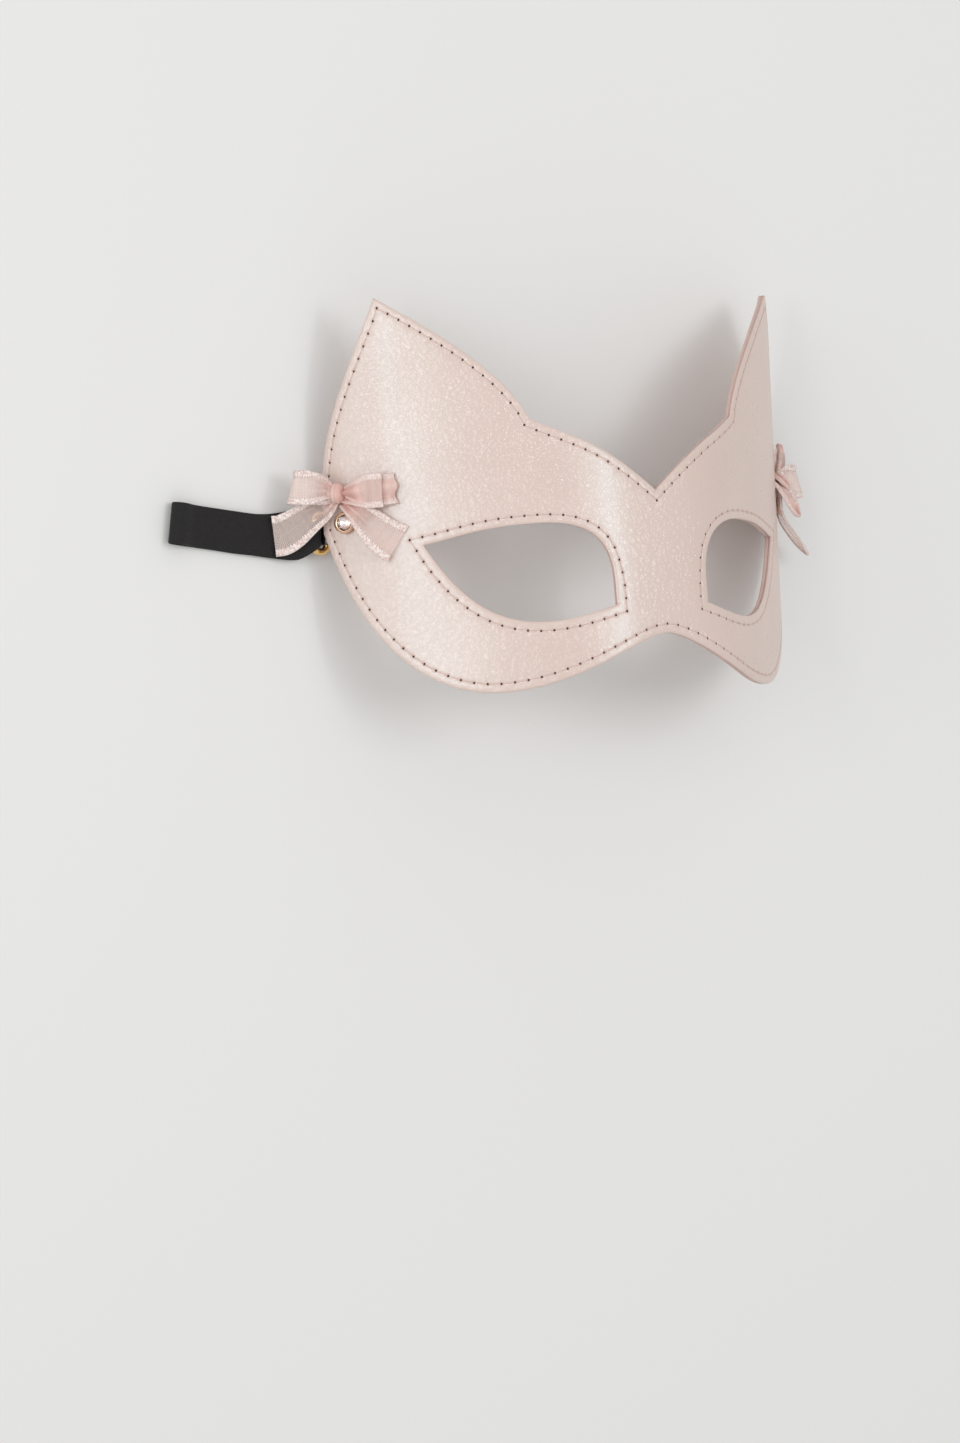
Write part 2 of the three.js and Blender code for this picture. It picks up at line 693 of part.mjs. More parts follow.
const material = (color, roughness, metalness = 0) => (
  new THREE.MeshStandardMaterial({ color, roughness, metalness })
);
const LEATHER = material(0xe6cfc8, 0.42, 0.1);
const LINING = material(0xd9bdb4, 0.7);
const RIBBON = material(0xe3b8b0, 0.5);
const GOLD = material(0xd9a15c, 0.2, 1);
const CRYSTAL = material(0xf4eeee, 0.05);
const PATENT = material(0x0b0b0c, 0.15);
const ELASTIC = material(0x1c1c1e, 0.85);

const group = new THREE.Group();

function addPiece(name, geometry, finish) {
  const plain = geometry.clone();
  plain.deleteAttribute('normal');
  plain.deleteAttribute('uv');
  const merged = mergeVertices(plain, 1e-4);
  merged.computeVertexNormals();
  const mesh = new THREE.Mesh(merged, finish);
  mesh.name = name;
  group.add(mesh);
}

const holes = [postHole(-1), postHole(1)];
addPiece('face_leather', cut(sheet(0, 0, FACE_BACK), ...holes), LEATHER);
addPiece('lining_leather', cut(sheet(LINING_INSET, LINING_FRONT, LINING_BACK), ...holes), LINING);
addPiece('bow_near', nearBow(), RIBBON);
addPiece('bow_far', farBow(), RIBBON);
addPiece('rivet_near', rivet(-1), GOLD);
addPiece('rivet_far', rivet(1), GOLD);
addPiece('crystal_near', crystal(-1), CRYSTAL);
addPiece('crystal_far', crystal(1), CRYSTAL);
addPiece('strap_tab_near', tab(-1, nearRing, nearTabPath), PATENT);
addPiece('strap_tab_far', tab(1, farRing, farTabPath), PATENT);
addPiece('strap_ring_near', ring(nearRing), GOLD);
addPiece('strap_ring_far', ring(farRing), GOLD);
addPiece('elastic_strap', strap(), ELASTIC);

// Origin: bottom centre of the whole, on the surface that it lies on
const box = new THREE.Box3().setFromObject(group);
const middle = box.getCenter(v3(0, 0, 0));
group.position.set(-middle.x, -middle.y, -box.min.z);
group.updateMatrixWorld(true);

export default group;
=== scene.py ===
"""A moulded leather cat mask with ribbon bows, crystal rivets and an elastic strap, lying face up.

Lengths are millimetres in the mask's lying frame until a mesh is made, and metres after that.
Mask terms: s runs along the leather from the centre line to a temple, t runs up the face from
the outer corners of the eyes, and h is the height over the front surface.
"""

import math

import bpy
import numpy as np
from mathutils import Matrix, Vector, geometry


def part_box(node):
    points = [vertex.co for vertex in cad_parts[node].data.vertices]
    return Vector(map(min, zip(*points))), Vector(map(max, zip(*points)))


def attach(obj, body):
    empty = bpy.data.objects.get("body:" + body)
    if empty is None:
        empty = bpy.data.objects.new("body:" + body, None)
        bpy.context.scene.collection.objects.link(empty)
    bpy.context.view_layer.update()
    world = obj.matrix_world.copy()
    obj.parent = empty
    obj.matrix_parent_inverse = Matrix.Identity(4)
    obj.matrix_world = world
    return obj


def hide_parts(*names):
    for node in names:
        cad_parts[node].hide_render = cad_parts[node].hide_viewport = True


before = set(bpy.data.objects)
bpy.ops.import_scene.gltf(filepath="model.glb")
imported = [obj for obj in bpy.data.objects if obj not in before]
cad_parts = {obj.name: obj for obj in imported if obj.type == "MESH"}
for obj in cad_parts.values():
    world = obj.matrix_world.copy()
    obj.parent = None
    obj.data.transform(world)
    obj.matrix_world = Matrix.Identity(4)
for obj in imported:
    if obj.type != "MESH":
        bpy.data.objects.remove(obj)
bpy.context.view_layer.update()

# Bend of the leather across the face: arcs that meet smoothly
ARC_STARTS = (0.0, 9.0, 33.0, 80.0)
ARC_RADII = (195.0, 51.0, 178.0, 60.0)
WRAP_FADE = 0.0016  # share of its depth that the bend loses with each mm up the face
NEAR_LIFT = 5.8  # the strap, its ring and its tab lie under the near temple

# Flat half pattern, as Bezier stretches with the inset of the seam along each
HALF_WIDTH = 106.5
TEMPLE_FOOT = 7.0
TEMPLE_TOP = 20.0
LOBE = (52.5, -46.0)
OUTLINE = (
    (((0, -31.3), (9.9, -31.3), (28.3, -46), (52.5, -46)), 2.7),
    (((52.5, -46), (87.5, -46), (102.5, -2), (106.5, 7)), 2.6),
    (((106.5, 7), (106.5, 11), (106.5, 16), (106.5, 20)), 2.6),
    (((106.5, 20), (106.5, 38.3), (95.8, 54), (85.8, 75.2)), 2.6),
    (((85.8, 75.2), (70.4, 65.8), (46.3, 50.8), (39.5, 35)), 2.1),
    (((39.5, 35), (24.2, 27.6), (19.2, 27.6), (0, 11.9)), 2.5),
)
EYE = (
    (((74, 0), (60, -24.5), (45.3, -30.9), (17, -22.2)), 2.8),
    (((17, -22.2), (17, -20), (17, -17), (17, -15)), 3.2),
    (((17, -15), (17, 1.3), (28.7, 3.7), (41, 3.7)), 2.5),
    (((41, 3.7), (57, 3.7), (61, 2), (74, 0)), 2.5),
)
OUTLINE_STEP = 0.85
SHARP_TURN = 25.0  # degrees: the seam has a needle hole at each sharper corner

# Leather
FACE_BACK = -1.05
LINING_FRONT = -1.07
LINING_BACK = -2.4
LINING_INSET = 0.05
GRID_STEP = 1.7
BACK_GRID_STEP = 2.4 * GRID_STEP
GRID_TOP = 76.0
EDGE_CLEARANCE = 0.7  # in grid steps
SEAM_CLEARANCE = 0.35  # in grid steps
EDGE_ROLL = ((0.0, -0.5), (0.1, -0.27), (0.35, -0.11), (0.8, -0.03), (1.5, 0.0))  # inset, height
SEAM_GROOVE = ((0.0, -0.11), (0.25, -0.07), (0.5, -0.02), (0.85, 0.0))  # distance, height
SWAY = 0.09  # how far the moulded leather strays from its even bend

# Seam
STITCH_PITCH = 4.0
NEEDLE_HOLE = ((0.5, 0.42, -0.13), (0.41, 0.33, -0.32))  # along, across and height of its rings
NEEDLE_CLEARANCE = 0.6  # from a hole to the nearest other point
NEEDLE_DEPTH = -0.8
THREAD_RADIUS = 0.1
THREAD_LEVEL = 0.05  # depth of the thread's centre in the middle of a stitch
STITCH_START = ((0.03, -0.7), (0.075, -0.36), (0.115, -0.1), (0.2, -0.03))  # share, height

# Crystal rivet, in radii and heights over the leather
RIVET_S = 98.0
RIVET_T = {-1: 9.3, 1: 12.0}
HOLE_RADIUS = 1.35
RIVET_POST = (
    (0, -5.7), (1.2, -5.66), (1.9, -5.5), (2.25, -5.2), (2.3, -5.0), (1.0, -5.0), (1.0, 0.05),
    (3.1, 0.05), (3.3, 0.25),
)
BEZEL_RADIUS = 3.3
BEZEL_SHOULDER = 1.1
BEZEL_ROUND = 0.5
BEZEL_LIP = 0.3
RIVET_SIDES = 56
RIVET_CREASE = 50.0  # degrees: sharper edges stay hard
CRYSTAL_SEAT = ((2.42, 0.9), (2.3, 0.7), (0, 0.7))
CRYSTAL_TABLE = (1.25, 2.1)
CRYSTAL_STAR = (1.78, 1.86)
CRYSTAL_GIRDLE = ((2.3, 1.42), (2.3, 1.3))
CRYSTAL_CULET = 0.82

# Tabs, rings and strap
TAB_THICKNESS = 0.7
TAB_WIDTH = 7.0
TAB_TIP_WIDTH = 0.7 * TAB_WIDTH
TAB_REACH = (92.6, 94.5, RIVET_S, 100)  # s of the tab's tip, shoulder, rivet and bend
TAB_STEPS = 120
TAB_OUTER_LAYER = -3.15
TAB_INNER_LAYER = -4.2
WIRE_RADIUS = 1.1
TAB_BARS = {-1: ((-82.1, 1.8, 3.35), -4), 1: ((70.8, 10.6, 2.25), 0)}  # place, turn in plan
RING_BARS = 4.6
RING_LENGTH = 11.0
RING_CORNER = 2.0
BAR_GAP = 0.2
STRAP_WIDTH = 12.5
STRAP_THICKNESS = 0.9
STRAP_GATHERED = 7.2
STRAP_STEPS = 700
STRAP_SLOPE = -0.145
STRAP_PLACE = (-100, 1.05)
STRAP_FOLD_X = -136.2
FOLD_RADIUS = 2.2
STRAP_GAP = 0.35  # between the layers of the strap where it is folded
STRAP_LOWER_RUN = (
    (-101, 2), (-92, 3), (-82, 5.2), (-70, 7.6), (-55, 9.6), (-35, 10.8), (-10, 10.9),
    (10, 10.2), (24, 8.4), (37, 7.2), (49, 7.8),
)

# Ribbon
RIBBON_WIDTH = 10.4
PINCH = 4.4  # width of the ribbon where the knot holds it
RIBBON_BODY = 0.12
SATIN_BODY = 0.3
SATIN_SHARE = 0.18
RIBBON_HEM = 0.04
RIBBON_FACETS = 20
KNOT_PLACE = {-1: (99.6, 18.2, 3.3), 1: (95.5, 19.4, 1.5)}
KNOT_SIZE = {-1: (5.6, 3.0, 2.8), 1: (5.2, 3.4, 1.8)}  # its length, and its reach up and out

# Weaves: pitches along, and counts across
ELASTIC_CORDS = 21
ELASTIC_PICK = 0.62
ORGANZA_ENDS = 26
ORGANZA_PICK = 0.42
SATIN_TWILL = 0.5
SATIN_TOOTH = 0.38

# Camera, in the mask's own upright frame
VIEW_YAW = 36.0
VIEW_PITCH = 6.23
VIEW_ROLL = -1.31
VIEW_DISTANCE = 3000.0
VIEW_MM_PER_PIXEL = 0.30
PICTURE = (960, 1443)
ORIGIN_PIXEL = (659.7, 528.8)  # where the leather between the eyes falls in the picture
SENSOR = 36.0

# Light and floor, in metres
LIGHT_DISTANCE = 1.3
LIGHT_HEIGHT = 0.55
LIGHT_RISE = 0.06  # for each metre of distance
LIGHTS = (  # name, direction and span in degrees round the mask, brightness
    ("left_panel", -70, 54, 1.45),
    ("left_lamp", -56, 7, 3.7),
    ("top_panel", 9, 35, 1.45),
    ("top_lamp", 12, 6, 5),
)
WORLD_BRIGHTNESS = 0.665
FLOOR_REACH = 6.0

NEAR = -1
FAR = 1
SIDE_NAMES = {NEAR: "near", FAR: "far"}


# The bent surface

def section_at(s):
    """x, z and turning angle across the face, at distance s from the centre line."""
    s = np.asarray(s, float)
    x = np.zeros_like(s)
    z = np.zeros_like(s)
    angle = np.zeros_like(s)
    for start, end, radius in zip(ARC_STARTS, (*ARC_STARTS[1:], np.inf), ARC_RADII):
        turned = angle + (np.clip(s, start, end) - start) / radius
        x = x + radius * (np.sin(turned) - np.sin(angle))
        z = z + radius * (np.cos(turned) - np.cos(angle))
        angle = turned
    return x, z, angle


def unit(vectors):
    return vectors / np.maximum(np.linalg.norm(vectors, axis=-1, keepdims=True), 1e-12)


def mask_point(s, t, h=0.0):
    """Points of the mask in its own upright frame."""
    s, t, h = np.broadcast_arrays(*(np.asarray(value, float) for value in (s, t, h)))
    side = np.where(s < 0, -1.0, 1.0)
    x, z, angle = section_at(np.abs(s))
    wrap = 1 - WRAP_FADE * t
    normal = unit(np.stack([
        side * wrap * np.sin(angle),
        WRAP_FADE * z * np.cos(angle),
        np.cos(angle),
    ], -1))
    return np.stack([side * x, t, z * wrap], -1) + normal * h[..., None]


edge_x, edge_z, _ = section_at(HALF_WIDTH)
REST_TILT = math.atan(WRAP_FADE * -edge_z)
REST_ROLL = math.asin(NEAR_LIFT / (2 * edge_x))
REST_TURN = np.array(Matrix.Rotation(REST_ROLL, 3, "Y") @ Matrix.Rotation(-REST_TILT, 3, "X"))
temple = mask_point(HALF_WIDTH, [TEMPLE_FOOT, TEMPLE_TOP], FACE_BACK) @ REST_TURN.T
REST_LIFT = np.array([0, 0, -temple[:, 2].min()])


def on_mask(s, t, h=0.0):
    return mask_point(s, t, h) @ REST_TURN.T + REST_LIFT


# The part's frame from the mask's lying frame, by the box of the outer leather
face_low, face_high = (np.array(corner) * 1000 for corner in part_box("face_leather"))
temple_reach = on_mask(HALF_WIDTH, [TEMPLE_FOOT, TEMPLE_TOP], 0)[:, 0].max()
lobe_reach = on_mask([LOBE[0], -LOBE[0]] * 2, LOBE[1], [0, 0, FACE_BACK, FACE_BACK])[:, 1].min()
SHIFT = np.array([face_high[0] - temple_reach, face_low[1] - lobe_reach, face_low[2]])


def to_metres(points):
    return (np.asarray(points, float) + SHIFT) * 0.001


# Mesh makers

def added(name, data):
    """A new object in the scene."""
    made = bpy.data.objects.new(name, data)
    bpy.context.scene.collection.objects.link(made)
    return made


class Build:
    """Points, faces, finishes of faces and values of points of one mesh, in millimetres."""

    def __init__(self):
        self.points = []
        self.faces = []
        self.finishes = []
        self.values = {}
        self.count = 0

    def add(self, points, faces, finishes=None, **values):
        points = np.asarray(points, float).reshape(-1, 3)
        first = self.count
        self.points.append(points)
        self.faces.extend([tuple(int(i) + first for i in face) for face in faces])
        self.finishes.extend(finishes or [0] * len(faces))
        for name, value in values.items():
            self.values.setdefault(name, []).append((first, np.broadcast_to(value, len(points))))
        self.count += len(points)
        return first

    def piece(self, name, finishes, node=None, side=None, smooth=True):
        """The mesh as a piece that replaces a node, both named for their side if they have one."""
        ending = f"_{SIDE_NAMES[side]}" if side else ""
        mesh = bpy.data.meshes.new(name + ending)
        mesh.from_pydata(to_metres(np.vstack(self.points)).tolist(), [], self.faces)
        for finish in finishes:
            mesh.materials.append(finish.material)
        mesh.polygons.foreach_set("material_index", self.finishes)
        mesh.polygons.foreach_set("use_smooth", [smooth] * len(mesh.polygons))
        for key, parts in self.values.items():
            filled = np.zeros(self.count, np.float32)
            for first, value in parts:
                filled[first:first + len(value)] = value
            mesh.attributes.new(key, "FLOAT", "POINT").data.foreach_set("value", filled)
        mesh.update()
        made = added(name + ending, mesh)
        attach(made, "root")
        if node:
            node += ending
            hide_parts(node)
        return made


def through(keys, u):
    """A centripetal Catmull-Rom line through the keys, at shares u of its stretches."""
    keys = np.asarray(keys, float)
    if keys.ndim == 1:
        return through(keys[:, None], u)[:, 0]
    ends = np.vstack([2 * keys[0] - keys[1], keys, 2 * keys[-1] - keys[-2]])
    place = np.clip(u, 0, 1) * (len(keys) - 1)
    k = np.minimum(place.astype(int), len(keys) - 2)
    w = (place - k)[:, None]
    a, b, c, d = (ends[k + i] for i in range(4))

    def gap(p, q):
        return np.sqrt(np.maximum(np.linalg.norm(q - p, axis=1), 1e-9))[:, None]

    ab, bc, cd = gap(a, b), gap(b, c), gap(c, d)
    leave = ((b - a) / ab - (c - a) / (ab + bc) + (c - b) / bc) * bc
    arrive = ((c - b) / bc - (d - b) / (bc + cd) + (d - c) / cd) * bc
    curve = 3 * (c - b) - 2 * leave - arrive
    return b + leave * w + curve * w ** 2 + (2 * (b - c) + leave + arrive) * w ** 3


def round_angles(count):
    return np.linspace(0, 2 * math.pi, count, endpoint=False)


def run_along(points):
    """Distance along a line at each of its points."""
    return np.concatenate([[0], np.cumsum(np.linalg.norm(np.diff(points, axis=0), axis=1))])


def stations(keys, steps, closed=False):
    """Places, wide and thick directions, widths and lengths along keys of (place, lean, width)."""
    places, leans, widths = (np.array(part, float) for part in zip(*keys))
    if closed:
        at, lean, width = places, leans, widths
        along = unit(np.roll(at, -1, 0) - np.roll(at, 1, 0))
    else:
        u = np.linspace(0, 1, steps + 1)
        at = through(places, u)
        lean = unit(np.stack([np.interp(u, np.linspace(0, 1, len(keys)), leans[:, i])
                              for i in range(3)], -1))
        width = through(widths, u)
        along = unit(np.gradient(at, axis=0))
    thick = unit(np.cross(along, lean))
    wide = unit(np.cross(thick, along))
    return at, wide, thick, width, run_along(at)


def tube_faces(count, sides, closed=False):
    """Faces round a row of rings, with its two ends where it isn't closed."""
    faces = []
    for i in range(count if closed else count - 1):
        for k in range(sides):
            here, there = i * sides, (i + 1) % count * sides
            m = (k + 1) % sides
            faces.append((here + k, here + m, there + m, there + k))
    if not closed:
        last = (count - 1) * sides
        faces += [tuple(range(sides))[::-1], tuple(range(last, last + sides))]
    return faces


def sweep(build, keys, steps, section, closed=False):
    """Sweeps section(width), a ring of (across, out) places, along the keys."""
    at, wide, thick, width, run = stations(keys, steps, closed)
    rings = np.array([section(w) for w in width])
    points = (at[:, None] + rings[..., :1] * wide[:, None] + rings[..., 1:] * thick[:, None])
    count, sides = rings.shape[:2]
    across = rings[..., 0] / np.abs(rings[..., 0]).max(1, keepdims=True) / 2
    build.add(points, tube_faces(count, sides, closed), along=np.repeat(run, sides),
              across=across.ravel())


def round_section(radius, sides):
    angles = round_angles(sides)
    ring = np.stack([np.cos(angles), np.sin(angles)], -1) * radius
    return lambda width: ring


def band_section(depth, corner, points_across):
    """A flat band with round edges, of any width."""
    def section(width):
        half = width / 2 - corner
        arc = np.radians(np.linspace(-90, 90, 7))
        right = np.stack([half + corner * np.cos(arc), depth / 2 * np.sin(arc)], -1)
        top = np.linspace(half, -half, points_across + 1)[1:-1]
        upper = np.stack([top, np.full_like(top, depth / 2)], -1)
        return np.vstack([right, upper, -right, -upper])
    return section


def foot_and_up(s, t):
    """A place on the mask and the way straight out of it."""
    foot = on_mask(s, t, 0)
    return foot, unit(on_mask(s, t, 1) - foot)


def ring_maker(s, t):
    """Makes rings of points that stand at a place on the mask."""
    foot, up = foot_and_up(s, t)
    right = unit(np.cross((0, 1, 0), up))
    ahead = np.cross(up, right)

    def ring(count, radius, height, turn=0.0):
        angles = np.radians(turn) + round_angles(count)
        flat = np.cos(angles)[:, None] * right + np.sin(angles)[:, None] * ahead
        return foot + up * height + flat * radius
    return ring


def lathe(build, profile, sides, s, t):
    """Turns a profile of (radius, height) from its foot on the axis to its top on the axis."""
    ring = ring_maker(s, t)
    inner = profile[1:-1]
    points = np.vstack([ring(1, *profile[0]), *[ring(sides, *spot) for spot in inner],
                        ring(1, *profile[-1])])
    last = len(points) - 1
    faces = []
    for k in range(sides):
        m = (k + 1) % sides
        faces += [(1 + m, 1 + k, 0), (last - sides + k, last - sides + m, last)]
        for i in range(len(inner) - 1):
            a, b = 1 + i * sides, 1 + (i + 1) * sides
            faces.append((b + m, b + k, a + k, a + m))
    build.add(points, faces)


# Flat pattern of the leather

def evenly(points, pitch, least):
    """Places about a pitch apart along a line, with both its ends."""
    run = run_along(points)
    places = np.linspace(0, run[-1], max(least, round(run[-1] / pitch)) + 1)
    return np.stack([np.interp(places, run, points[:, i]) for i in range(2)], -1)


def bezier(controls):
    """Points at about even distances along a cubic Bezier, without its end."""
    a, b, c, d = (np.array(control, float) for control in controls)
    w = np.linspace(0, 1, 400)[:, None]
    fine = (1 - w) ** 3 * a + 3 * (1 - w) ** 2 * w * b + 3 * (1 - w) * w ** 2 * c + w ** 3 * d
    return evenly(fine, OUTLINE_STEP, 2)[:-1]


def pattern_loop(stretches):
    """Points of a loop with the seam's inset at each."""
    parts = [bezier(controls) for controls, _ in stretches]
    insets = [np.full(len(part), inset) for part, (_, inset) in zip(parts, stretches)]
    return np.vstack(parts), np.concatenate(insets)


def mirrored(stretches):
    """The same stretches on the other side, in running order."""
    return tuple(
        (tuple((-s, t) for s, t in reversed(controls)), inset)
        for controls, inset in reversed(stretches)
    )


def rivet_hole(side):
    angles = -round_angles(20)
    ring = np.stack([np.cos(angles), np.sin(angles)], -1) * HOLE_RADIUS
    return ring + (side * RIVET_S, RIVET_T[side]), None


def smooth_insets(insets):
    kernel = np.ones(9) / 9
    padded = np.concatenate([insets[-4:], insets, insets[:4]])
    return np.convolve(padded, kernel, "valid")


def pattern_loops():
    """Each edge of the leather, which lies to its left, with the seam's insets if it has a seam."""
    loops = [pattern_loop(OUTLINE + mirrored(OUTLINE)), pattern_loop(EYE), pattern_loop(mirrored(EYE))]
    loops = [(points, smooth_insets(insets)) for points, insets in loops]
    return loops + [rivet_hole(side) for side in (NEAR, FAR)]


def leftward(directions):
    return np.stack([-directions[:, 1], directions[:, 0]], -1)


def mitres(loop):
    """The way into the leather from each point, longer at corners to keep the margin even."""
    after = leftward(unit(np.roll(loop, -1, 0) - loop))
    before = np.roll(after, 1, 0)
    return (before + after) / (1 + (before * after).sum(1, keepdims=True))


def moved_inwards(loop, distance):
    """The loop moved into the leather, with mitred corners and no crossings."""
    distance = np.broadcast_to(np.asarray(distance, float), len(loop))
    moved = loop + mitres(loop) * distance[:, None]
    return moved[distance_to(moved, loop) > 0.98 * distance - 0.03]


def closely_spaced(loop, gap=1.2):
    """The closed line with more points where they are far apart, as beside a sharp corner."""
    following = np.roll(loop, -1, 0)
    counts = np.ceil(np.linalg.norm(following - loop, axis=1) / gap).astype(int)
    return np.vstack([a + (b - a) * (np.arange(count) / count)[:, None]
                      for a, b, count in zip(loop, following, np.maximum(counts, 1))])


def distance_to(points, loop):
    """Distance from each point to the closed line through the loop's points."""
    runs = np.roll(loop, -1, 0) - loop
    best = np.full(len(points), np.inf)
    for start, run in zip(loop, runs):
        share = np.clip(((points - start) @ run) / (run @ run), 0, 1)
        best = np.minimum(best, ((points - start - share[:, None] * run) ** 2).sum(1))
    return np.sqrt(best)


def inside(points, loop):
    crossings = np.zeros(len(points), int)
    following = np.roll(loop, -1, 0)
    for (ax, ay), (bx, by) in zip(loop, following):
        if ay == by:
            continue
        spans = (points[:, 1] > ay) != (points[:, 1] > by)
        reach = ax + (points[:, 1] - ay) * (bx - ax) / (by - ay)
        crossings += spans & (points[:, 0] < reach)
    return crossings % 2 == 1


def on_leather(points, loops):
    found = inside(points, loops[0][0])
    for loop, _ in loops[1:]:
        found &= ~inside(points, loop)
    return found


def seam_holes(loop, insets):
    """Rows of needle holes along the seam of a loop, each from one corner to the next."""
    row = moved_inwards(loop, insets)
    ahead = unit(np.roll(row, -1, 0) - row)
    turn = np.degrees(np.arccos(np.clip((ahead * np.roll(ahead, 1, 0)).sum(1), -1, 1)))
    corners = np.nonzero(turn > SHARP_TURN)[0]
    row = np.roll(row, -corners[0], 0)
    corners = (corners - corners[0]).tolist() + [len(row)]
    row = np.vstack([row, row[:1]])
    stretches = []
    for start, end in zip(corners, corners[1:]):
        part = row[start:end + 1]
        if run_along(part)[-1] >= STITCH_PITCH / 2:
            stretches.append(evenly(part, STITCH_PITCH, 1))
    return stretches


def sway(points):
    """The slight unevenness of moulded leather."""
    s, t = points[:, 0], points[:, 1]
    slow = np.sin(s / 9.1 + 0.7 * np.sin(t / 13)) * np.cos(t / 11.3 - s / 37)
    quick = np.sin(s / 4.3 + t / 6.1) * np.sin(t / 5.2 - s / 8.7)
    calm = np.clip((RIVET_S - 8 - np.abs(s)) / 12, 0, 1)
    return SWAY * (0.7 * slow + 0.3 * quick) * calm


def relief(points, loops):
    """Height of the leather's rolled edges and stitched groove at flat points."""
    edge = np.full(len(points), np.inf)
    seam = np.full(len(points), np.inf)
    for loop, insets in loops:
        edge = np.minimum(edge, distance_to(points, loop))
        if insets is not None:
            seam = np.minimum(seam, distance_to(points, moved_inwards(loop, insets)))
    return np.interp(edge, *zip(*EDGE_ROLL)) + np.interp(seam, *zip(*SEAM_GROOVE))


def needle_points(row):
    """Rings of points round each needle hole of a seam and its deepest point, with their heights and
    their marks for the painted shade inside the hole.
    """
    ahead = unit(np.gradient(row, axis=0))
    across = leftward(ahead)
    points, heights, dark = [row], [np.full(len(row), NEEDLE_DEPTH)], [np.ones(len(row))]
    for number, (long, wide, height) in enumerate(NEEDLE_HOLE):
        for angle in round_angles(8):
            points.append(row + ahead * long * math.cos(angle) + across * wide * math.sin(angle))
            heights.append(np.full(len(row), height))
            dark.append(np.full(len(row), float(number)))
    return np.vstack(points), np.concatenate(heights), np.concatenate(dark)


def grid(step, loops):
    """Flat points of a triangular grid on the leather."""
    rows = np.arange(LOBE[1], GRID_TOP, step * math.sqrt(3) / 2)
    columns = np.arange(-HALF_WIDTH, HALF_WIDTH, step)
    points = np.array([(s + (i % 2) * step / 2, t) for i, t in enumerate(rows) for s in columns])
    return points[on_leather(points, loops)]


def plain_points(loops):
    free = grid(BACK_GRID_STEP, loops)
    for loop, _ in loops:
        free = free[distance_to(free, loop) > EDGE_CLEARANCE * BACK_GRID_STEP]
    return free


def seamed_points(loops, holes):
    """Flat points with rings along the edges and seams, their heights and their marks for the painted
    shade inside the needle holes.
    """
    margin = SEAM_GROOVE[-1][0] + SEAM_CLEARANCE * GRID_STEP
    free = grid(GRID_STEP, loops)
    rings = []
    for loop, insets in loops:
        if insets is None:
            free = free[distance_to(free, loop) > EDGE_CLEARANCE * GRID_STEP]
            continue
        free = free[distance_to(free, moved_inwards(loop, insets)) > margin]
        free = free[distance_to(free, loop) > insets.max() + margin]
        distances = [inset for inset, _ in EDGE_ROLL[1:-1]]
        distances += [insets + away for away, _ in SEAM_GROOVE]
        distances += [insets - away for away, _ in SEAM_GROOVE[1:]]
        rings += [closely_spaced(moved_inwards(loop, distance)) for distance in distances]
    free = np.vstack([free, *rings])
    centres = np.vstack(holes)
    gap = np.array([((centres - place) ** 2).sum(1).min() for place in free])
    free = free[gap > NEEDLE_CLEARANCE ** 2]
    parts = [(free, relief(free, loops), np.zeros(len(free))), *map(needle_points, holes)]
    return [np.concatenate(values) for values in zip(*parts)]


def loop_edges(loops):
    """Pairs of neighbours' numbers round each loop, counted through all of them."""
    edges = []
    for loop, _ in loops:
        start, count = len(edges), len(loop)
        edges += [(start + k, start + (k + 1) % count) for k in range(count)]
    return edges


def triangulated(loops, free):
    """Places and triangles of a side, each place's source, and where the loops' points went."""
    outline = np.vstack([loop for loop, _ in loops])
    points = [Vector(point) for point in np.vstack([outline, free]).tolist()]
    made = geometry.delaunay_2d_cdt(points, loop_edges(loops), [], 0, 1e-5)
    places = np.array([tuple(point) for point in made[0]])
    triangles = np.array(made[2])
    triangles = triangles[on_leather(places[triangles].mean(1), loops)]
    source = np.array([sources[0] if sources else -1 for sources in made[3]])
    border = {int(k): i for i, k in enumerate(source) if 0 <= k < len(outline)}
    return places, triangles, source, [border[k] for k in range(len(outline))]


def inset_loops(loops, margin):
    """The loops moved into the leather by a small margin, point for point."""
    return [(loop + mitres(loop) * margin, None if insets is None else insets - margin)
            for loop, insets in loops]


def leather_layer(name, loops, holes, show, back, side, finishes, node):
    """One layer: its shown side at height show, with edge roll and seam, and a plain back."""
    def surface(places, height):
        points = on_mask(places[:, 0], places[:, 1], height + sway(places))
        points[:, 2] = np.maximum(points[:, 2], 0)
        return points

    build = Build()
    free, height, dark = seamed_points(loops, holes)
    places, triangles, source, border = triangulated(loops, free)
    rim = np.ones(len(border))
    height = np.concatenate([EDGE_ROLL[0][1] * rim, height, [0]])[source]
    dark = np.concatenate([0 * rim, dark, [0]])[source]
    # Faces deep in a needle hole get a near-black finish: painted shade
    deep = dark[triangles].min(1) > 0.5
    build.add(surface(places, show + side * height), triangles[:, ::side], (2 * deep).tolist())
    places, triangles, _, back_border = triangulated(loops, plain_points(loops))
    first = build.add(surface(places, back), triangles[:, ::-side])
    walls = [(border[k], first + back_border[k], first + back_border[m], border[m])[::side]
             for k, m in loop_edges(loops)]
    build.faces += walls
    build.finishes += [1] * len(walls)
    build.piece(name, finishes, node)


def stitching(name, holes, level, side, finish):
    """The thread of the seam on one side of the leather: a stitch from each hole to the next."""
    build = Build()
    stitch_end = tuple((1 - share, height) for share, height in STITCH_START[::-1])
    shape = (*STITCH_START, (0.5, 0.0), *stitch_end)
    section = round_section(THREAD_RADIUS, 6)
    for row in holes:
        for start, end in zip(row, row[1:]):
            keys = []
            for share, height in shape:
                s, t = start + (end - start) * share
                own = sway(np.array([[s, t]]))[0]
                place = on_mask(s, t, level + own + side * height)
                up = on_mask(s, t, level + own + 1) - on_mask(s, t, level + own)
                keys.append((place, np.cross(up, (*(end - start), 0)), 1))
            sweep(build, keys, len(keys) * 2 - 2, section)
    build.piece(name, [finish])


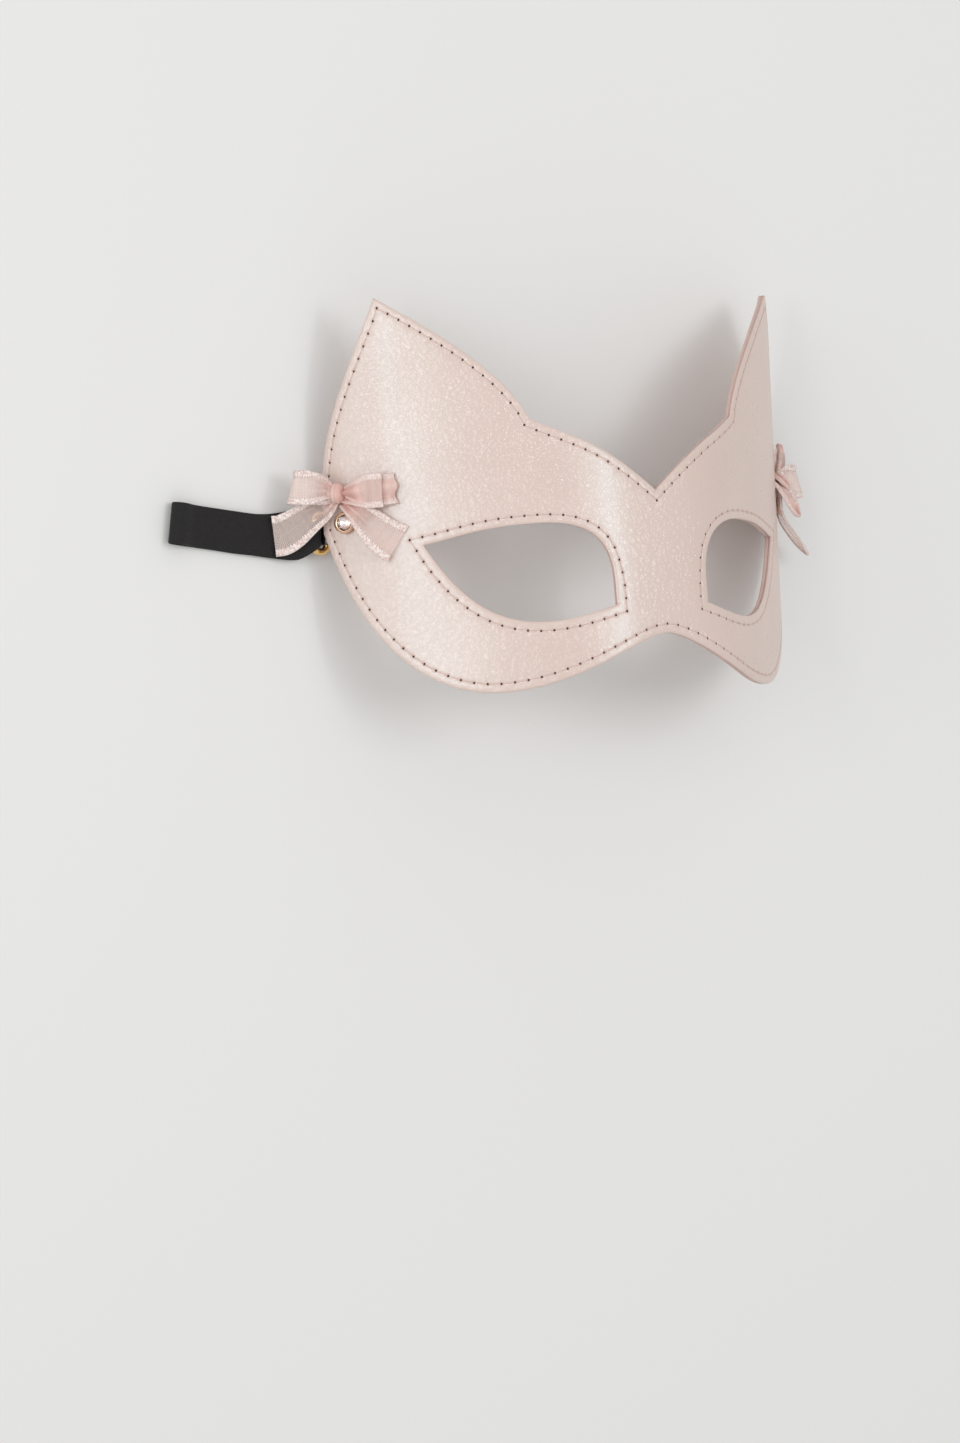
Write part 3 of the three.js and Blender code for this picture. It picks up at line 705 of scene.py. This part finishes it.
# Rivets and crystals

def rivet(side, finish):
    """Back cap, post and bezel, turned in one."""
    build = Build()
    crest = BEZEL_RADIUS - BEZEL_ROUND
    rim = [(crest + BEZEL_ROUND * math.sin(a), BEZEL_SHOULDER + BEZEL_ROUND * (1 - math.cos(a)))
           for a in np.radians(np.linspace(90, 180, 7))]
    lip = [(crest - BEZEL_LIP * (1 - math.cos(a)),
            BEZEL_SHOULDER + BEZEL_ROUND - 0.4 * BEZEL_LIP * math.sin(a))
           for a in np.radians(np.linspace(30, 90, 4))]
    profile = [*RIVET_POST, *rim, *lip, *CRYSTAL_SEAT]
    lathe(build, profile, RIVET_SIDES, side * RIVET_S, RIVET_T[side])
    made = build.piece("rivet_bezel", [finish], "rivet", side)
    made.data.set_sharp_from_angle(angle=math.radians(RIVET_CREASE))


def crystal(side, stone, foil):
    """A round stone: table, star, kite and girdle facets over a foiled cone."""
    build = Build()
    ring = ring_maker(side * RIVET_S, RIVET_T[side])
    girdle = [ring(16, *edge) for edge in CRYSTAL_GIRDLE]
    points = np.vstack([ring(8, *CRYSTAL_TABLE), ring(8, *CRYSTAL_STAR, 22.5), *girdle,
                        ring(1, 0, CRYSTAL_CULET)])
    faces = [tuple(range(8))]
    for k in range(8):
        m = (k + 1) % 8
        star, kite, low = 8 + k, 8 + (k - 1) % 8, 16 + 2 * k
        faces += [(k, star, m), (k, kite, low), (k, low, star)]
        faces += [(star, low, low + 1), (star, low + 1, 16 + 2 * m)]
    crown = len(faces)
    for k in range(16):
        m = (k + 1) % 16
        faces += [(16 + k, 32 + k, 32 + m, 16 + m), (32 + k, 48, 32 + m)]
    build.add(points, faces, [0] * crown + [1] * (len(faces) - crown))
    build.piece("crystal_stone", [stone, foil], "crystal", side, smooth=False)


# Rings, tabs and strap

Y_AXIS = np.array([0, 1.0, 0])
Z_AXIS = np.array([0, 0, 1.0])
STRAP_GRIP = WIRE_RADIUS + BAR_GAP + STRAP_THICKNESS / 2
TAB_GRIP = WIRE_RADIUS + BAR_GAP + TAB_THICKNESS / 2


def ring_frame(tab_bar, turn):
    """A ring's directions and bars from the middle of its tab bar, turned in plan."""
    c, s = math.cos(math.radians(turn)), math.sin(math.radians(turn))
    across, along = np.array([c, s, 0]), np.array([-s, c, 0])
    bar = np.array(tab_bar, float)
    return {
        "across": across,
        "along": along,
        "tab_bar": bar,
        "strap_bar": bar - RING_BARS * across,
        "centre": bar - RING_BARS / 2 * across,
    }


RINGS = {side: ring_frame(*TAB_BARS[side]) for side in (NEAR, FAR)}


def strap_ring(side, finish):
    place = RINGS[side]
    keys = []
    for quarter, (a, b) in enumerate(((1, 1), (-1, 1), (-1, -1), (1, -1))):
        for share in np.linspace(0, 1, 9):
            angle = math.pi / 2 * (quarter + share)
            u = a * (RING_BARS / 2 - RING_CORNER) + RING_CORNER * math.cos(angle)
            v = b * (RING_LENGTH / 2 - RING_CORNER) + RING_CORNER * math.sin(angle)
            keys.append((place["centre"] + u * place["across"] + v * place["along"], Z_AXIS, 1))
    build = Build()
    sweep(build, keys, 0, round_section(WIRE_RADIUS, 20), closed=True)
    build.piece("gold_ring", [finish], "strap_ring", side)


def round_bar(bar, place, radius, start, end, width):
    """Keys on an arc round a ring's bar."""
    angles = np.radians(np.linspace(start, end, 6))
    return [(bar + radius * (math.cos(a) * place["across"] + math.sin(a) * Z_AXIS),
             place["along"], width) for a in angles]


# Turn round the ring's bar in degrees, and places of the outer and the inner layer
TAB_PATHS = {
    NEAR: {
        "turn": (160, 330),
        "outer": ((-80.9, 3.2, 8.2), (-82.2, 2.2, 5.7)),
        "inner": ((-79.9, 1.9, 5.1), (-79.3, 2.8, 7.6)),
    },
    FAR: {
        "turn": (-85, -265),
        "outer": ((76.5, 8.4, 2.95), (76.1, 9.2, 1.65), (74.4, 10.2, 1.05)),
        "inner": ((72.5, 10.4, 3.3), (73.6, 10, 2.25), (74.6, 9.5, 2.05), (75.3, 8.8, 2.8)),
    },
}


def patent_tab(side, finish):
    place = RINGS[side]
    path = TAB_PATHS[side]
    slant = unit(on_mask(side * 92, 17) - on_mask(side * 92, 7))

    def leg(s, h):
        width = TAB_TIP_WIDTH if s == TAB_REACH[0] else TAB_WIDTH
        return on_mask(side * s, RIVET_T[side], h), slant, width

    def between(point):
        return np.array(point, float), place["along"], TAB_WIDTH

    keys = [leg(s, TAB_OUTER_LAYER) for s in TAB_REACH]
    keys += [between(point) for point in path["outer"]]
    keys += round_bar(place["tab_bar"], place, TAB_GRIP, *path["turn"], TAB_WIDTH)
    keys += [between(point) for point in path["inner"]]
    keys += [leg(s, TAB_INNER_LAYER) for s in TAB_REACH[::-1]]
    build = Build()
    sweep(build, keys, TAB_STEPS, band_section(TAB_THICKNESS, corner=0.3, points_across=6))
    build.piece("patent_tab", [finish], "strap_tab", side)


STRAP_LEAN = unit(np.array([-STRAP_SLOPE, 1, 0]))


def strap_line(x):
    """Where the straight stretch outside the near temple runs."""
    return STRAP_PLACE[1] + STRAP_SLOPE * (x - STRAP_PLACE[0])


def strap_key(x, y, z, width=STRAP_WIDTH):
    return np.array([x, y, z], float), STRAP_LEAN if x < STRAP_PLACE[0] else Y_AXIS, width


def strap_keys():
    """Round the near ring, out over the table, folded back under itself, and to the far ring."""
    low = STRAP_THICKNESS / 2
    upper = STRAP_THICKNESS * 1.5 + STRAP_GAP
    bar = RINGS[NEAR]["strap_bar"]
    foot = bar[2] - STRAP_GRIP

    def straight(x, z, width=STRAP_WIDTH, aside=0):
        return strap_key(x, strap_line(x) + aside, z, width)

    keys = [
        straight(bar[0] - 9, foot, STRAP_WIDTH - 0.8),
        straight(bar[0] - 5, foot, 11),
        strap_key(bar[0] - 2, bar[1] - 0.1, foot, 9),
        *round_bar(bar, RINGS[NEAR], STRAP_GRIP, -80, 90, STRAP_GATHERED),
        straight(bar[0] - 2.6, bar[2] + STRAP_GRIP - 0.5, 8.4, 1),
        straight(bar[0] - 6, foot + STRAP_THICKNESS + 0.9, 11.6),
        straight(bar[0] - 10, foot + STRAP_THICKNESS + STRAP_GAP),
        straight(bar[0] - 14, upper + 0.1),
        *[straight(x, upper) for x in (-107, -114, -121)],
        straight(-128, upper + 0.7),
    ]
    middle = STRAP_FOLD_X + STRAP_THICKNESS / 2 + FOLD_RADIUS
    for angle in np.radians([65, 100, 140, 180, 220, 250, 270]):
        keys.append(straight(
            middle + FOLD_RADIUS * math.cos(angle),
            low + 0.03 + FOLD_RADIUS + FOLD_RADIUS * math.sin(angle),
        ))
    keys += [straight(x, low) for x in (-130, -120, -110)]
    keys += [strap_key(x, y, low) for x, y in STRAP_LOWER_RUN]
    bar = RINGS[FAR]["strap_bar"]
    foot = bar[2] - STRAP_GRIP
    keys += [
        strap_key(bar[0] - 6.6, bar[1] - 0.7, foot, 12),
        strap_key(bar[0] - 2.6, bar[1], foot, 9.4),
        *round_bar(bar, RINGS[FAR], STRAP_GRIP, -80, 100, STRAP_GATHERED),
        strap_key(bar[0] - 3.6, bar[1], foot + STRAP_THICKNESS + 0.9, 10),
        strap_key(bar[0] - 7, bar[1] - 0.7, foot + STRAP_THICKNESS + STRAP_GAP, 11.6),
        strap_key(bar[0] - 12, bar[1] - 1.2, foot + STRAP_THICKNESS + 0.25, 11.8),
    ]
    return keys


def elastic_strap(finish):
    build = Build()
    section = band_section(STRAP_THICKNESS, corner=0.42, points_across=16)
    sweep(build, strap_keys(), STRAP_STEPS, section)
    build.piece("strap_elastic", [finish], "elastic_strap")


# Bows

def strip(build, key, rows, steps, pleats=2.5, phase=0.0, rosy=1.0, shade_blush=0.0):
    """A ribbon along key(*row), pleated where it is pulled narrower than it is. There, and by a blush
    over whole strips, it turns a deeper rose: partly the colour of layered sheer cloth, partly painted
    shade in folds and loops.
    """
    at, wide, thick, width, run = stations([key(*row) for row in rows], steps)
    v = np.linspace(-0.5, 0.5, RIBBON_FACETS + 1)
    ratio = np.maximum(RIBBON_WIDTH / width, 1.0)
    depth = width / pleats / math.pi * np.sqrt(ratio - 1) * 0.9
    fold = depth[:, None] * np.sin(2 * math.pi * pleats * v + phase)
    surface = (at[:, None] + wide[:, None] * (v[:, None] * width[:, None, None])
               + thick[:, None] * fold[..., None])
    normal = unit(np.cross(np.gradient(surface, axis=0), np.gradient(surface, axis=1)))
    satin = np.clip((np.abs(v) - 0.5 + SATIN_SHARE) / 0.02, 0, 1)
    half = (RIBBON_BODY + (SATIN_BODY - RIBBON_BODY) * satin) / 2
    half[[0, -1]] = RIBBON_HEM
    raised = normal * half[:, None]
    rows, columns = surface.shape[:2]
    offset = rows * columns
    faces = []

    def wall(a, b):
        return a, offset + a, offset + b, b

    for i in range(rows - 1):
        for k in range(columns - 1):
            a, b = i * columns + k, i * columns + k + 1
            c, d = b + columns, a + columns
            faces += [(b, c, d, a), (offset + d, offset + c, offset + b, offset + a)]
        start = i * columns
        end = start + columns - 1
        faces += [wall(start + columns, start), wall(end, end + columns)]
    last = offset - columns
    faces += [wall(k, k + 1) for k in range(columns - 1)]
    faces += [wall(last + k + 1, last + k) for k in range(columns - 1)]
    # Deeper rose, and less sheer, where pulled narrower and by the blush: partly layered sheer cloth,
    # partly painted shade in folds and loops
    gathered = np.clip(shade_blush + rosy * (ratio - 1) / 1.2, 0, 1)
    build.add(np.vstack([surface + raised, surface - raised]), faces, across=np.tile(v, rows * 2),
              along=np.tile(np.repeat(run, columns), 2),
              gathered=np.tile(np.repeat(gathered, columns), 2))


def knot(build, side):
    """The ribbon's turn round the middle of the bow: a barrel with folds along its turn."""
    s, t, height = KNOT_PLACE[side]
    s *= side
    long, high, deep = KNOT_SIZE[side]
    foot, up = foot_and_up(s, t)
    middle = foot + up * height
    climb = unit(on_mask(s, t + 1) - foot)
    axis = np.cross(climb, up)
    rows, columns = 22, 36
    v = np.linspace(-0.5, 0.5, rows)
    angles = round_angles(columns)
    swell = np.sqrt(np.clip(1 - (v * 2) ** 4 * 0.86, 0, 1))
    folds = 1 + 0.07 * np.cos(v * 2 * math.pi * 4.5)
    slant = 0.35 * np.sin(angles + 0.6)
    points = []
    for share, grown, fold in zip(v, swell, folds):
        ring = (np.cos(angles)[:, None] * climb * high + np.sin(angles)[:, None] * up * deep)
        points.append(middle + axis * ((share * long + slant * (1 - 4 * share ** 2) * 0.8)[:, None])
                      + ring * (grown * fold))
    faces = [face[::-1] for face in tube_faces(rows, columns)]
    across = np.repeat(0.62 * v - 0.19, columns)
    # The knot grows rosier from its satin end to its sheer end: partly layered cloth, partly painted
    # shade in its folds
    gathered = np.repeat(0.6 + 0.8 * v, columns)
    build.add(np.vstack(points), faces, across=across, along=np.tile(angles * 2.3, rows),
              gathered=gathered)


def over_face(side, lean):
    """Makes keys at heights over the leather."""
    def key(s, t, h, width=RIBBON_WIDTH, turned=lean):
        return on_mask(side * s, t, h), np.array(turned, float), width
    return key


def in_open(lean):
    """Makes keys in the lying frame."""
    def key(x, y, z, width=RIBBON_WIDTH, turned=lean):
        return np.array([x, y, z], float), np.array(turned, float), width
    return key


def near_bow(finish):
    face = over_face(NEAR, unit(on_mask(-90, 20) - on_mask(-90, 10)))
    build = Build()
    strip(build, face, (
        (98, 17.6, 2.8, PINCH), (93.6, 17.6, 4.7, 7.2), (90.6, 17.6, 5, 9.4), (88.4, 17.6, 5.1),
        (85.8, 17.6, 4.8), (84.9, 17.6, 4.2), (85.6, 17.6, 3.5, 10), (86.4, 17.7, 3, 9.4),
        (83.6, 17.8, 2.5, 9.2), (81.3, 17.8, 1.8, 9.2), (82.8, 17.7, 1.1, 9.6), (88, 17.6, 0.9),
        (93, 17.6, 1.1, 7.4), (97.6, 17.5, 1.9, PINCH),
    ), steps=150, pleats=1.5, phase=0.8, rosy=1.5, shade_blush=0.4)
    slanted = unit(on_mask(-91, 20) - on_mask(-89, 10))
    strip(build, face, (
        (97.4, 15.8, 2.6, PINCH), (93, 12, 3.6, 7), (89, 7.8, 3.4, 10),
        (85.4, 4, 2.4, 11.6, slanted), (81.6, 1.1, 1.6, 12.8, slanted),
    ), steps=60, phase=2.1, shade_blush=0.15)
    out = in_open((0.29, 0.957, 0))
    strip(build, out, (
        (-86.2, 14.4, 13.8, PINCH), (-90.1, 15.4, 14.2, 8), (-94.4, 15.6, 13),
        (-97.6, 15.8, 10.6), (-97.9, 15.8, 9.2), (-96.4, 15.7, 8.2), (-91.6, 15, 10, 9.6),
        (-87, 13.8, 12.6, 6.6), (-85.4, 14.3, 13.1, PINCH),
    ), steps=96, phase=0.2)
    strip(build, out, (
        (-85.7, 12.3, 13.5, PINCH, (-0.3, 1, 0.1)), (-88, 9.5, 11, 7.6, (-0.3, 1, 0.1)),
        (-92.2, 6, 7.6, 10.2, (-0.25, 1, 0.1)), (-95.8, 3.1, 5.2, 11.9, (-0.12, 1, 0.05)),
        (-98.4, 1.7, 4.1, 12.3, (-0.02, 1, 0)), (-101, 1.4, 3.5, 12.3, (0, 1, 0)),
    ), steps=70, phase=1.3)
    knot(build, NEAR)
    return build.piece("ribbon_bow", [finish], "bow", NEAR)


def far_bow(finish):
    leaf = in_open((0.75, 0, -0.66))
    tilted = (0.68, 0, -0.73)
    build = Build()
    strip(build, leaf, (
        (78.5, 15.7, 9.1, PINCH, tilted), (79.2, 18.7, 10.3, 8), (80.3, 21.5, 9.8, 9.6),
        (80.4, 24, 9.4, 7.4, tilted), (80.3, 25.4, 8.7, 3.6, (0.62, 0, -0.78)),
        (80.1, 24, 8.5, 7.4, tilted), (79.8, 21.6, 8.9, 9.6), (79.3, 18.8, 9.1, 8),
        (78.6, 15.7, 9.2, PINCH, tilted),
    ), steps=96, phase=0.5, shade_blush=0.25)
    loose = in_open((-0.21, 0.97, -0.13))
    strip(build, loose, (
        (78.4, 14.8, 9.6, PINCH), (79.6, 14.7, 10.6, 8.8), (81.1, 14.6, 11.2, 10.2),
        (83, 14.5, 11.5), (85.1, 14.4, 11), (86.3, 14.5, 9.9), (86.7, 14.5, 8.2),
        (84, 14.6, 7.4, 9.6), (80.8, 14.8, 8.3, 7), (79.2, 14.8, 8.5, PINCH),
    ), steps=110, phase=1.7, rosy=0.7)
    broad = in_open((0.77, 0.23, -0.6))
    strip(build, broad, (
        (76.8, 15.2, 11.2, PINCH), (76.7, 13.1, 14.5, 8.2), (78.1, 9.7, 16.1, 8.8),
        (80.2, 6, 16.2, 6), (82.2, 3.7, 15.6, 1.2),
    ), steps=50, phase=0.9, shade_blush=0.3)
    strip(build, broad, (
        (75.9, 17.3, 11.6, 3), (76.5, 15.4, 14.4, 3.6), (78.7, 12.9, 15.3, 2.4),
    ), steps=24)
    edge_on = in_open((-0.42, 0.2, 0.88))
    straight = (-0.41, 0.02, 0.91)
    strip(build, edge_on, (
        (76.6, 13.5, 12, PINCH, straight), (76.3, 9.7, 13.4, 8.4, straight),
        (76.5, 6, 13.3, 8.8, straight), (78.5, 2.3, 12.4, 9.4), (82.4, -2.1, 11.5, 8.6),
        (85.7, -5.3, 10.6, 5.4), (88.9, -8.1, 9.7, 1),
    ), steps=84, phase=0.4, rosy=0.1)
    knot(build, FAR)
    return build.piece("ribbon_bow", [finish], "bow", FAR)


# Materials

class Finish:
    """A material and short ways to wire its nodes."""

    def __init__(self, name, color, roughness, metallic=0.0, **sockets):
        self.material = bpy.data.materials.new(name)
        self.material.use_nodes = True
        self.tree = self.material.node_tree
        self.shader = self.tree.nodes["Principled BSDF"]
        self.set(self.shader, Base_Color=(*color, 1), Roughness=roughness, Metallic=metallic, **sockets)

    def set(self, node, **sockets):
        for name, value in sockets.items():
            node.inputs[name.replace("_", " ")].default_value = value
        return node

    def node(self, kind, **sockets):
        return self.set(self.tree.nodes.new(kind), **sockets)

    def link(self, source, target):
        self.tree.links.new(source, target)

    def drive(self, name, source):
        """Links a source to a socket of the shader."""
        self.link(source, self.shader.inputs[name])

    def place(self):
        return self.node("ShaderNodeTexCoord").outputs["Object"]

    def value(self, name):
        node = self.tree.nodes.new("ShaderNodeAttribute")
        node.attribute_name = name
        return node.outputs["Fac"]

    def math(self, operation, first, second=None, third=None):
        node = self.tree.nodes.new("ShaderNodeMath")
        node.operation = operation
        for socket, source in zip(node.inputs, (first, second, third)):
            if isinstance(source, (int, float)):
                socket.default_value = source
            elif source is not None:
                self.link(source, socket)
        return node.outputs[0]

    def wave(self, source, period):
        return self.math("SINE", self.math("MULTIPLY", source, 2 * math.pi / period))

    def noise(self, scale, detail):
        node = self.node("ShaderNodeTexNoise", Scale=scale, Detail=detail, Roughness=0.55)
        self.link(self.place(), node.inputs["Vector"])
        return node.outputs["Fac"]

    def pebbles(self, scale):
        """Rounded grains with creases between them."""
        node = self.tree.nodes.new("ShaderNodeTexVoronoi")
        node.feature = "SMOOTH_F1"
        self.set(node, Scale=scale, Smoothness=0.4, Detail=1.0, Roughness=0.6)
        self.link(self.place(), node.inputs["Vector"])
        return node.outputs["Distance"]

    def tint(self, source, first, second, start=0.3):
        """Base colour from first to second while the source goes from start to 1 - start."""
        node = self.tree.nodes.new("ShaderNodeValToRGB")
        ends = ((start, first), (1 - start, second))
        for element, (place, color) in zip(node.color_ramp.elements, ends):
            element.position = place
            element.color = (*color, 1)
        self.link(source, node.inputs["Fac"])
        self.drive("Base Color", node.outputs["Color"])

    def grey(self, source, low, high, start=0.0, end=1.0):
        node = self.node("ShaderNodeMapRange", From_Min=start, From_Max=end, To_Min=low, To_Max=high)
        self.link(source, node.inputs["Value"])
        return node.outputs["Result"]

    def mix(self, share, first, second):
        node = self.tree.nodes.new("ShaderNodeMix")
        node.data_type = "RGBA"
        self.link(share, node.inputs[0])
        for socket, source in zip(node.inputs[6:8], (first, second)):
            if isinstance(source, tuple):
                socket.default_value = (*source, 1)
            else:
                self.link(source, socket)
        return node.outputs[2]

    def bump(self, height, distance, strength=1.0, name="Normal"):
        node = self.node("ShaderNodeBump", Strength=strength, Distance=distance)
        self.link(height, node.inputs["Height"])
        self.drive(name, node.outputs["Normal"])


def pearl_leather():
    """Smooth pearled leather whose fine pebbles sparkle where they catch a light."""
    finish = Finish("pearl_pink_leather", (0.66, 0.52, 0.475), 0.3, Specular_IOR_Level=0.8,
                    Specular_Tint=(0.55, 0.9, 1, 1), Coat_Weight=0.6, Coat_Roughness=0.16)
    finish.tint(finish.noise(38, 3), (0.685, 0.523, 0.46), (0.712, 0.55, 0.49))
    finish.drive("Roughness", finish.grey(finish.noise(700, 3), 0.27, 0.33, 0.3, 0.7))
    finish.bump(finish.pebbles(620), 0.00032, name="Coat Normal")
    facing = finish.node("ShaderNodeLayerWeight", Blend=0.5).outputs["Facing"]
    finish.drive("Coat Weight", finish.grey(facing, 1.0, 0.0, 0.35, 0.75))
    return finish


def plain_leather(name, dark, light, roughness, grain):
    finish = Finish(name, light, roughness)
    finish.tint(finish.noise(140, 3), dark, light)
    finish.bump(finish.noise(1500, 3), grain)
    return finish


def thread():
    finish = Finish("pink_thread", (0.66, 0.48, 0.43), 0.6)
    twist = finish.noise(2600, 1)
    finish.tint(twist, (0.58, 0.4, 0.36), (0.72, 0.54, 0.49))
    finish.bump(twist, 0.00003)
    return finish


def metal(name, color, roughness):
    finish = Finish(name, color, roughness, 1.0)
    wear = finish.noise(420, 3)
    finish.drive("Roughness", finish.grey(wear, roughness * 0.6, roughness * 1.6))
    finish.bump(finish.noise(1100, 2), 0.000012)
    return finish


def crystal_glass():
    finish = Finish("clear_crystal", (1.0, 0.96, 0.95), 0.02, 0.0, IOR=1.62, Transmission_Weight=1.0)
    finish.tint(finish.noise(300, 1), (1, 0.95, 0.94), (1, 1, 1), 0.4)
    return finish


def patent_leather():
    finish = Finish("black_patent", (0.012, 0.012, 0.014), 0.12, Coat_Weight=0.8, Coat_Roughness=0.05)
    finish.drive("Roughness", finish.grey(finish.noise(260, 3), 0.1, 0.28))
    finish.bump(finish.noise(380, 2), 0.00012, 0.6)
    return finish


def woven_elastic():
    """Lengthwise cords with fine crosswise picks, and smooth rolled edges."""
    finish = Finish("black_elastic", (0.016, 0.015, 0.016), 0.75, Specular_IOR_Level=0.2,
                    Sheen_Weight=0.05, Sheen_Roughness=0.5)
    across = finish.value("across")
    along = finish.value("along")
    cords = finish.wave(across, 1 / ELASTIC_CORDS)
    picks = finish.wave(along, ELASTIC_PICK)
    weave = finish.math("MULTIPLY_ADD", cords, 0.6, finish.math("MULTIPLY", picks, 0.5))
    shade = finish.grey(weave, 0.0, 1.0, -1.1, 1.1)
    finish.drive("Base Color", finish.mix(shade, (0.01, 0.0095, 0.01), (0.024, 0.022, 0.023)))
    finish.drive("Roughness", finish.grey(finish.noise(700, 2), 0.55, 0.85))
    finish.bump(shade, 0.00012, 0.8)
    return finish


def organza():
    """Sheer weave between two satin edges whose inner sides are toothed."""
    finish = Finish("pink_organza", (0.85, 0.65, 0.6), 0.4, Sheen_Weight=0.1, Sheen_Roughness=0.4)
    across = finish.math("ABSOLUTE", finish.value("across"))
    along = finish.value("along")
    gathered = finish.value("gathered")
    tooth = finish.math("PINGPONG", along, SATIN_TOOTH)
    border = finish.math("MULTIPLY_ADD", tooth, 0.13, 0.475 - SATIN_SHARE)
    satin = finish.math("GREATER_THAN", across, border)
    picks = finish.wave(along, ORGANZA_PICK)
    ends = finish.wave(across, 1 / ORGANZA_ENDS)
    net = finish.math("MULTIPLY_ADD", picks, 0.5, finish.math("MULTIPLY", ends, 0.3))
    sheer = finish.grey(net, 0.24, 0.46, -0.8, 0.8)
    solid = finish.grey(gathered, 0, 1, 0.1, 0.6)
    alpha = finish.math("MAXIMUM", satin, finish.math("MAXIMUM", sheer, solid))
    finish.drive("Alpha", alpha)
    speckle = finish.grey(finish.noise(1500, 2), 0, 1, 0.42, 0.58)
    bright = finish.mix(speckle, (0.68, 0.51, 0.47), (0.9, 0.82, 0.79))
    flat = finish.mix(satin, (0.97, 0.81, 0.75), bright)
    # Deeper rose by the gathering value: partly layered sheer cloth, partly painted shade in folds,
    # loops and the knot
    rose_and_shade = finish.mix(satin, (0.68, 0.39, 0.34), (0.78, 0.58, 0.53))
    finish.drive("Base Color", finish.mix(gathered, flat, rose_and_shade))
    twill = finish.wave(along, SATIN_TWILL)
    finish.bump(finish.math("MULTIPLY_ADD", twill, 0.5, net), 0.00006, 0.7)
    return finish


# Floor, light and camera

def studio_floor():
    finish = Finish("pale_floor", (0.79, 0.79, 0.785), 0.9, Specular_IOR_Level=0.1)
    finish.bump(finish.noise(60, 2), 0.00005, 0.2)
    mesh = bpy.data.meshes.new("studio_floor")
    corners = [(x * FLOOR_REACH, y * FLOOR_REACH, 0) for x, y in ((-1, -1), (1, -1), (1, 1), (-1, 1))]
    mesh.from_pydata(corners, [], [(0, 1, 2, 3)])
    mesh.materials.append(finish.material)
    floor = added("studio_floor", mesh)


ORIGIN = to_metres(REST_LIFT)


def softbox(name, azimuth, span, brightness):
    """A light panel that spans an angle round the mask, level in the mask's upright frame."""
    size = 2 * LIGHT_DISTANCE * math.tan(math.radians(span) / 2)
    light = bpy.data.lights.new(name, "AREA")
    light.shape = "RECTANGLE"
    light.size, light.size_y = size, LIGHT_HEIGHT
    light.energy = 4 * brightness * size * LIGHT_HEIGHT
    lamp = added(name, light)
    turned = math.radians(azimuth)
    away = REST_TURN @ np.array([math.sin(turned), LIGHT_RISE, math.cos(turned)])
    place_facing(lamp, ORIGIN + away * LIGHT_DISTANCE, away, REST_TURN @ Y_AXIS)


def place_facing(thing, place, back, up):
    """Stands a lamp or camera at a place in metres, looking away from back."""
    back = unit(back)
    right = unit(np.cross(up, back))
    turn = Matrix(np.stack([right, np.cross(back, right), back], -1).tolist()).to_4x4()
    thing.matrix_world = Matrix.Translation(Vector(place)) @ turn


def studio_light():
    world = bpy.data.worlds.new("studio")
    world.use_nodes = True
    background = world.node_tree.nodes["Background"]
    background.inputs["Color"].default_value = (1, 0.997, 0.985, 1)
    background.inputs["Strength"].default_value = WORLD_BRIGHTNESS
    bpy.context.scene.world = world
    for light in LIGHTS:
        softbox(*light)
    bpy.context.scene.view_settings.view_transform = "Standard"


def studio_camera():
    """The photographed view of the mask, turned with it as it lies."""
    yaw, pitch, roll = (math.radians(a) for a in (VIEW_YAW, VIEW_PITCH, VIEW_ROLL))

    def pitched(x, z):
        return np.array([x, -z * math.sin(pitch), z * math.cos(pitch)])

    level = pitched(math.cos(yaw), math.sin(yaw))
    climb = np.array([0, math.cos(pitch), math.sin(pitch)])
    right = REST_TURN @ (level * math.cos(roll) + climb * math.sin(roll))
    up = REST_TURN @ (climb * math.cos(roll) - level * math.sin(roll))
    back = REST_TURN @ pitched(-math.sin(yaw), math.cos(yaw))
    place = REST_LIFT + VIEW_DISTANCE * back
    aside = (PICTURE[0] / 2 - ORIGIN_PIXEL[0]) * VIEW_MM_PER_PIXEL
    above = (ORIGIN_PIXEL[1] - PICTURE[1] / 2) * VIEW_MM_PER_PIXEL
    target = REST_LIFT + aside * right + above * up
    camera = bpy.data.cameras.new("camera")
    camera.sensor_width = SENSOR
    camera.lens = SENSOR * VIEW_DISTANCE / (PICTURE[1] * VIEW_MM_PER_PIXEL)
    camera.clip_start, camera.clip_end = 0.05, 50
    seat = added("camera", camera)
    place_facing(seat, to_metres(place), place - target, up)
    bpy.context.scene.camera = seat


studio_camera()
studio_light()
studio_floor()

loops = pattern_loops()
holes = [row for loop, insets in loops if insets is not None for row in seam_holes(loop, insets)]
# Near-black painted shade inside the needle holes
needle_hole_shade = Finish("needle_hole", (0.02, 0.012, 0.011), 0.9, Specular_IOR_Level=0.1)
edge_paint = plain_leather("edge_paint", (0.56, 0.4, 0.36), (0.62, 0.45, 0.4), 0.5, 0.00003)
lining = plain_leather("lining_leather", (0.6, 0.43, 0.38), (0.68, 0.5, 0.44), 0.62, 0.00006)
leather_layer("leather_face", loops, holes, 0.0, FACE_BACK, 1,
              [pearl_leather(), edge_paint, needle_hole_shade], "face_leather")
leather_layer("leather_lining", inset_loops(loops, LINING_INSET), holes, LINING_BACK, LINING_FRONT, -1,
              [lining, edge_paint, needle_hole_shade], "lining_leather")
pink_thread = thread()
stitching("seam_thread_front", holes, -THREAD_LEVEL, 1, pink_thread)
stitching("seam_thread_inside", holes, LINING_BACK + THREAD_LEVEL, -1, pink_thread)

rose_gold = metal("rose_gold", (0.74, 0.5, 0.36), 0.2)
gold = metal("gold", (0.9, 0.6, 0.24), 0.14)
glass = crystal_glass()
foil = metal("silver_foil", (0.92, 0.82, 0.79), 0.08)
patent = patent_leather()
for side in (NEAR, FAR):
    rivet(side, rose_gold)
    crystal(side, glass, foil)
    patent_tab(side, patent)
    strap_ring(side, gold)
elastic_strap(woven_elastic())

ribbon = organza()
for side, bow in ((NEAR, near_bow(ribbon)), (FAR, far_bow(ribbon))):
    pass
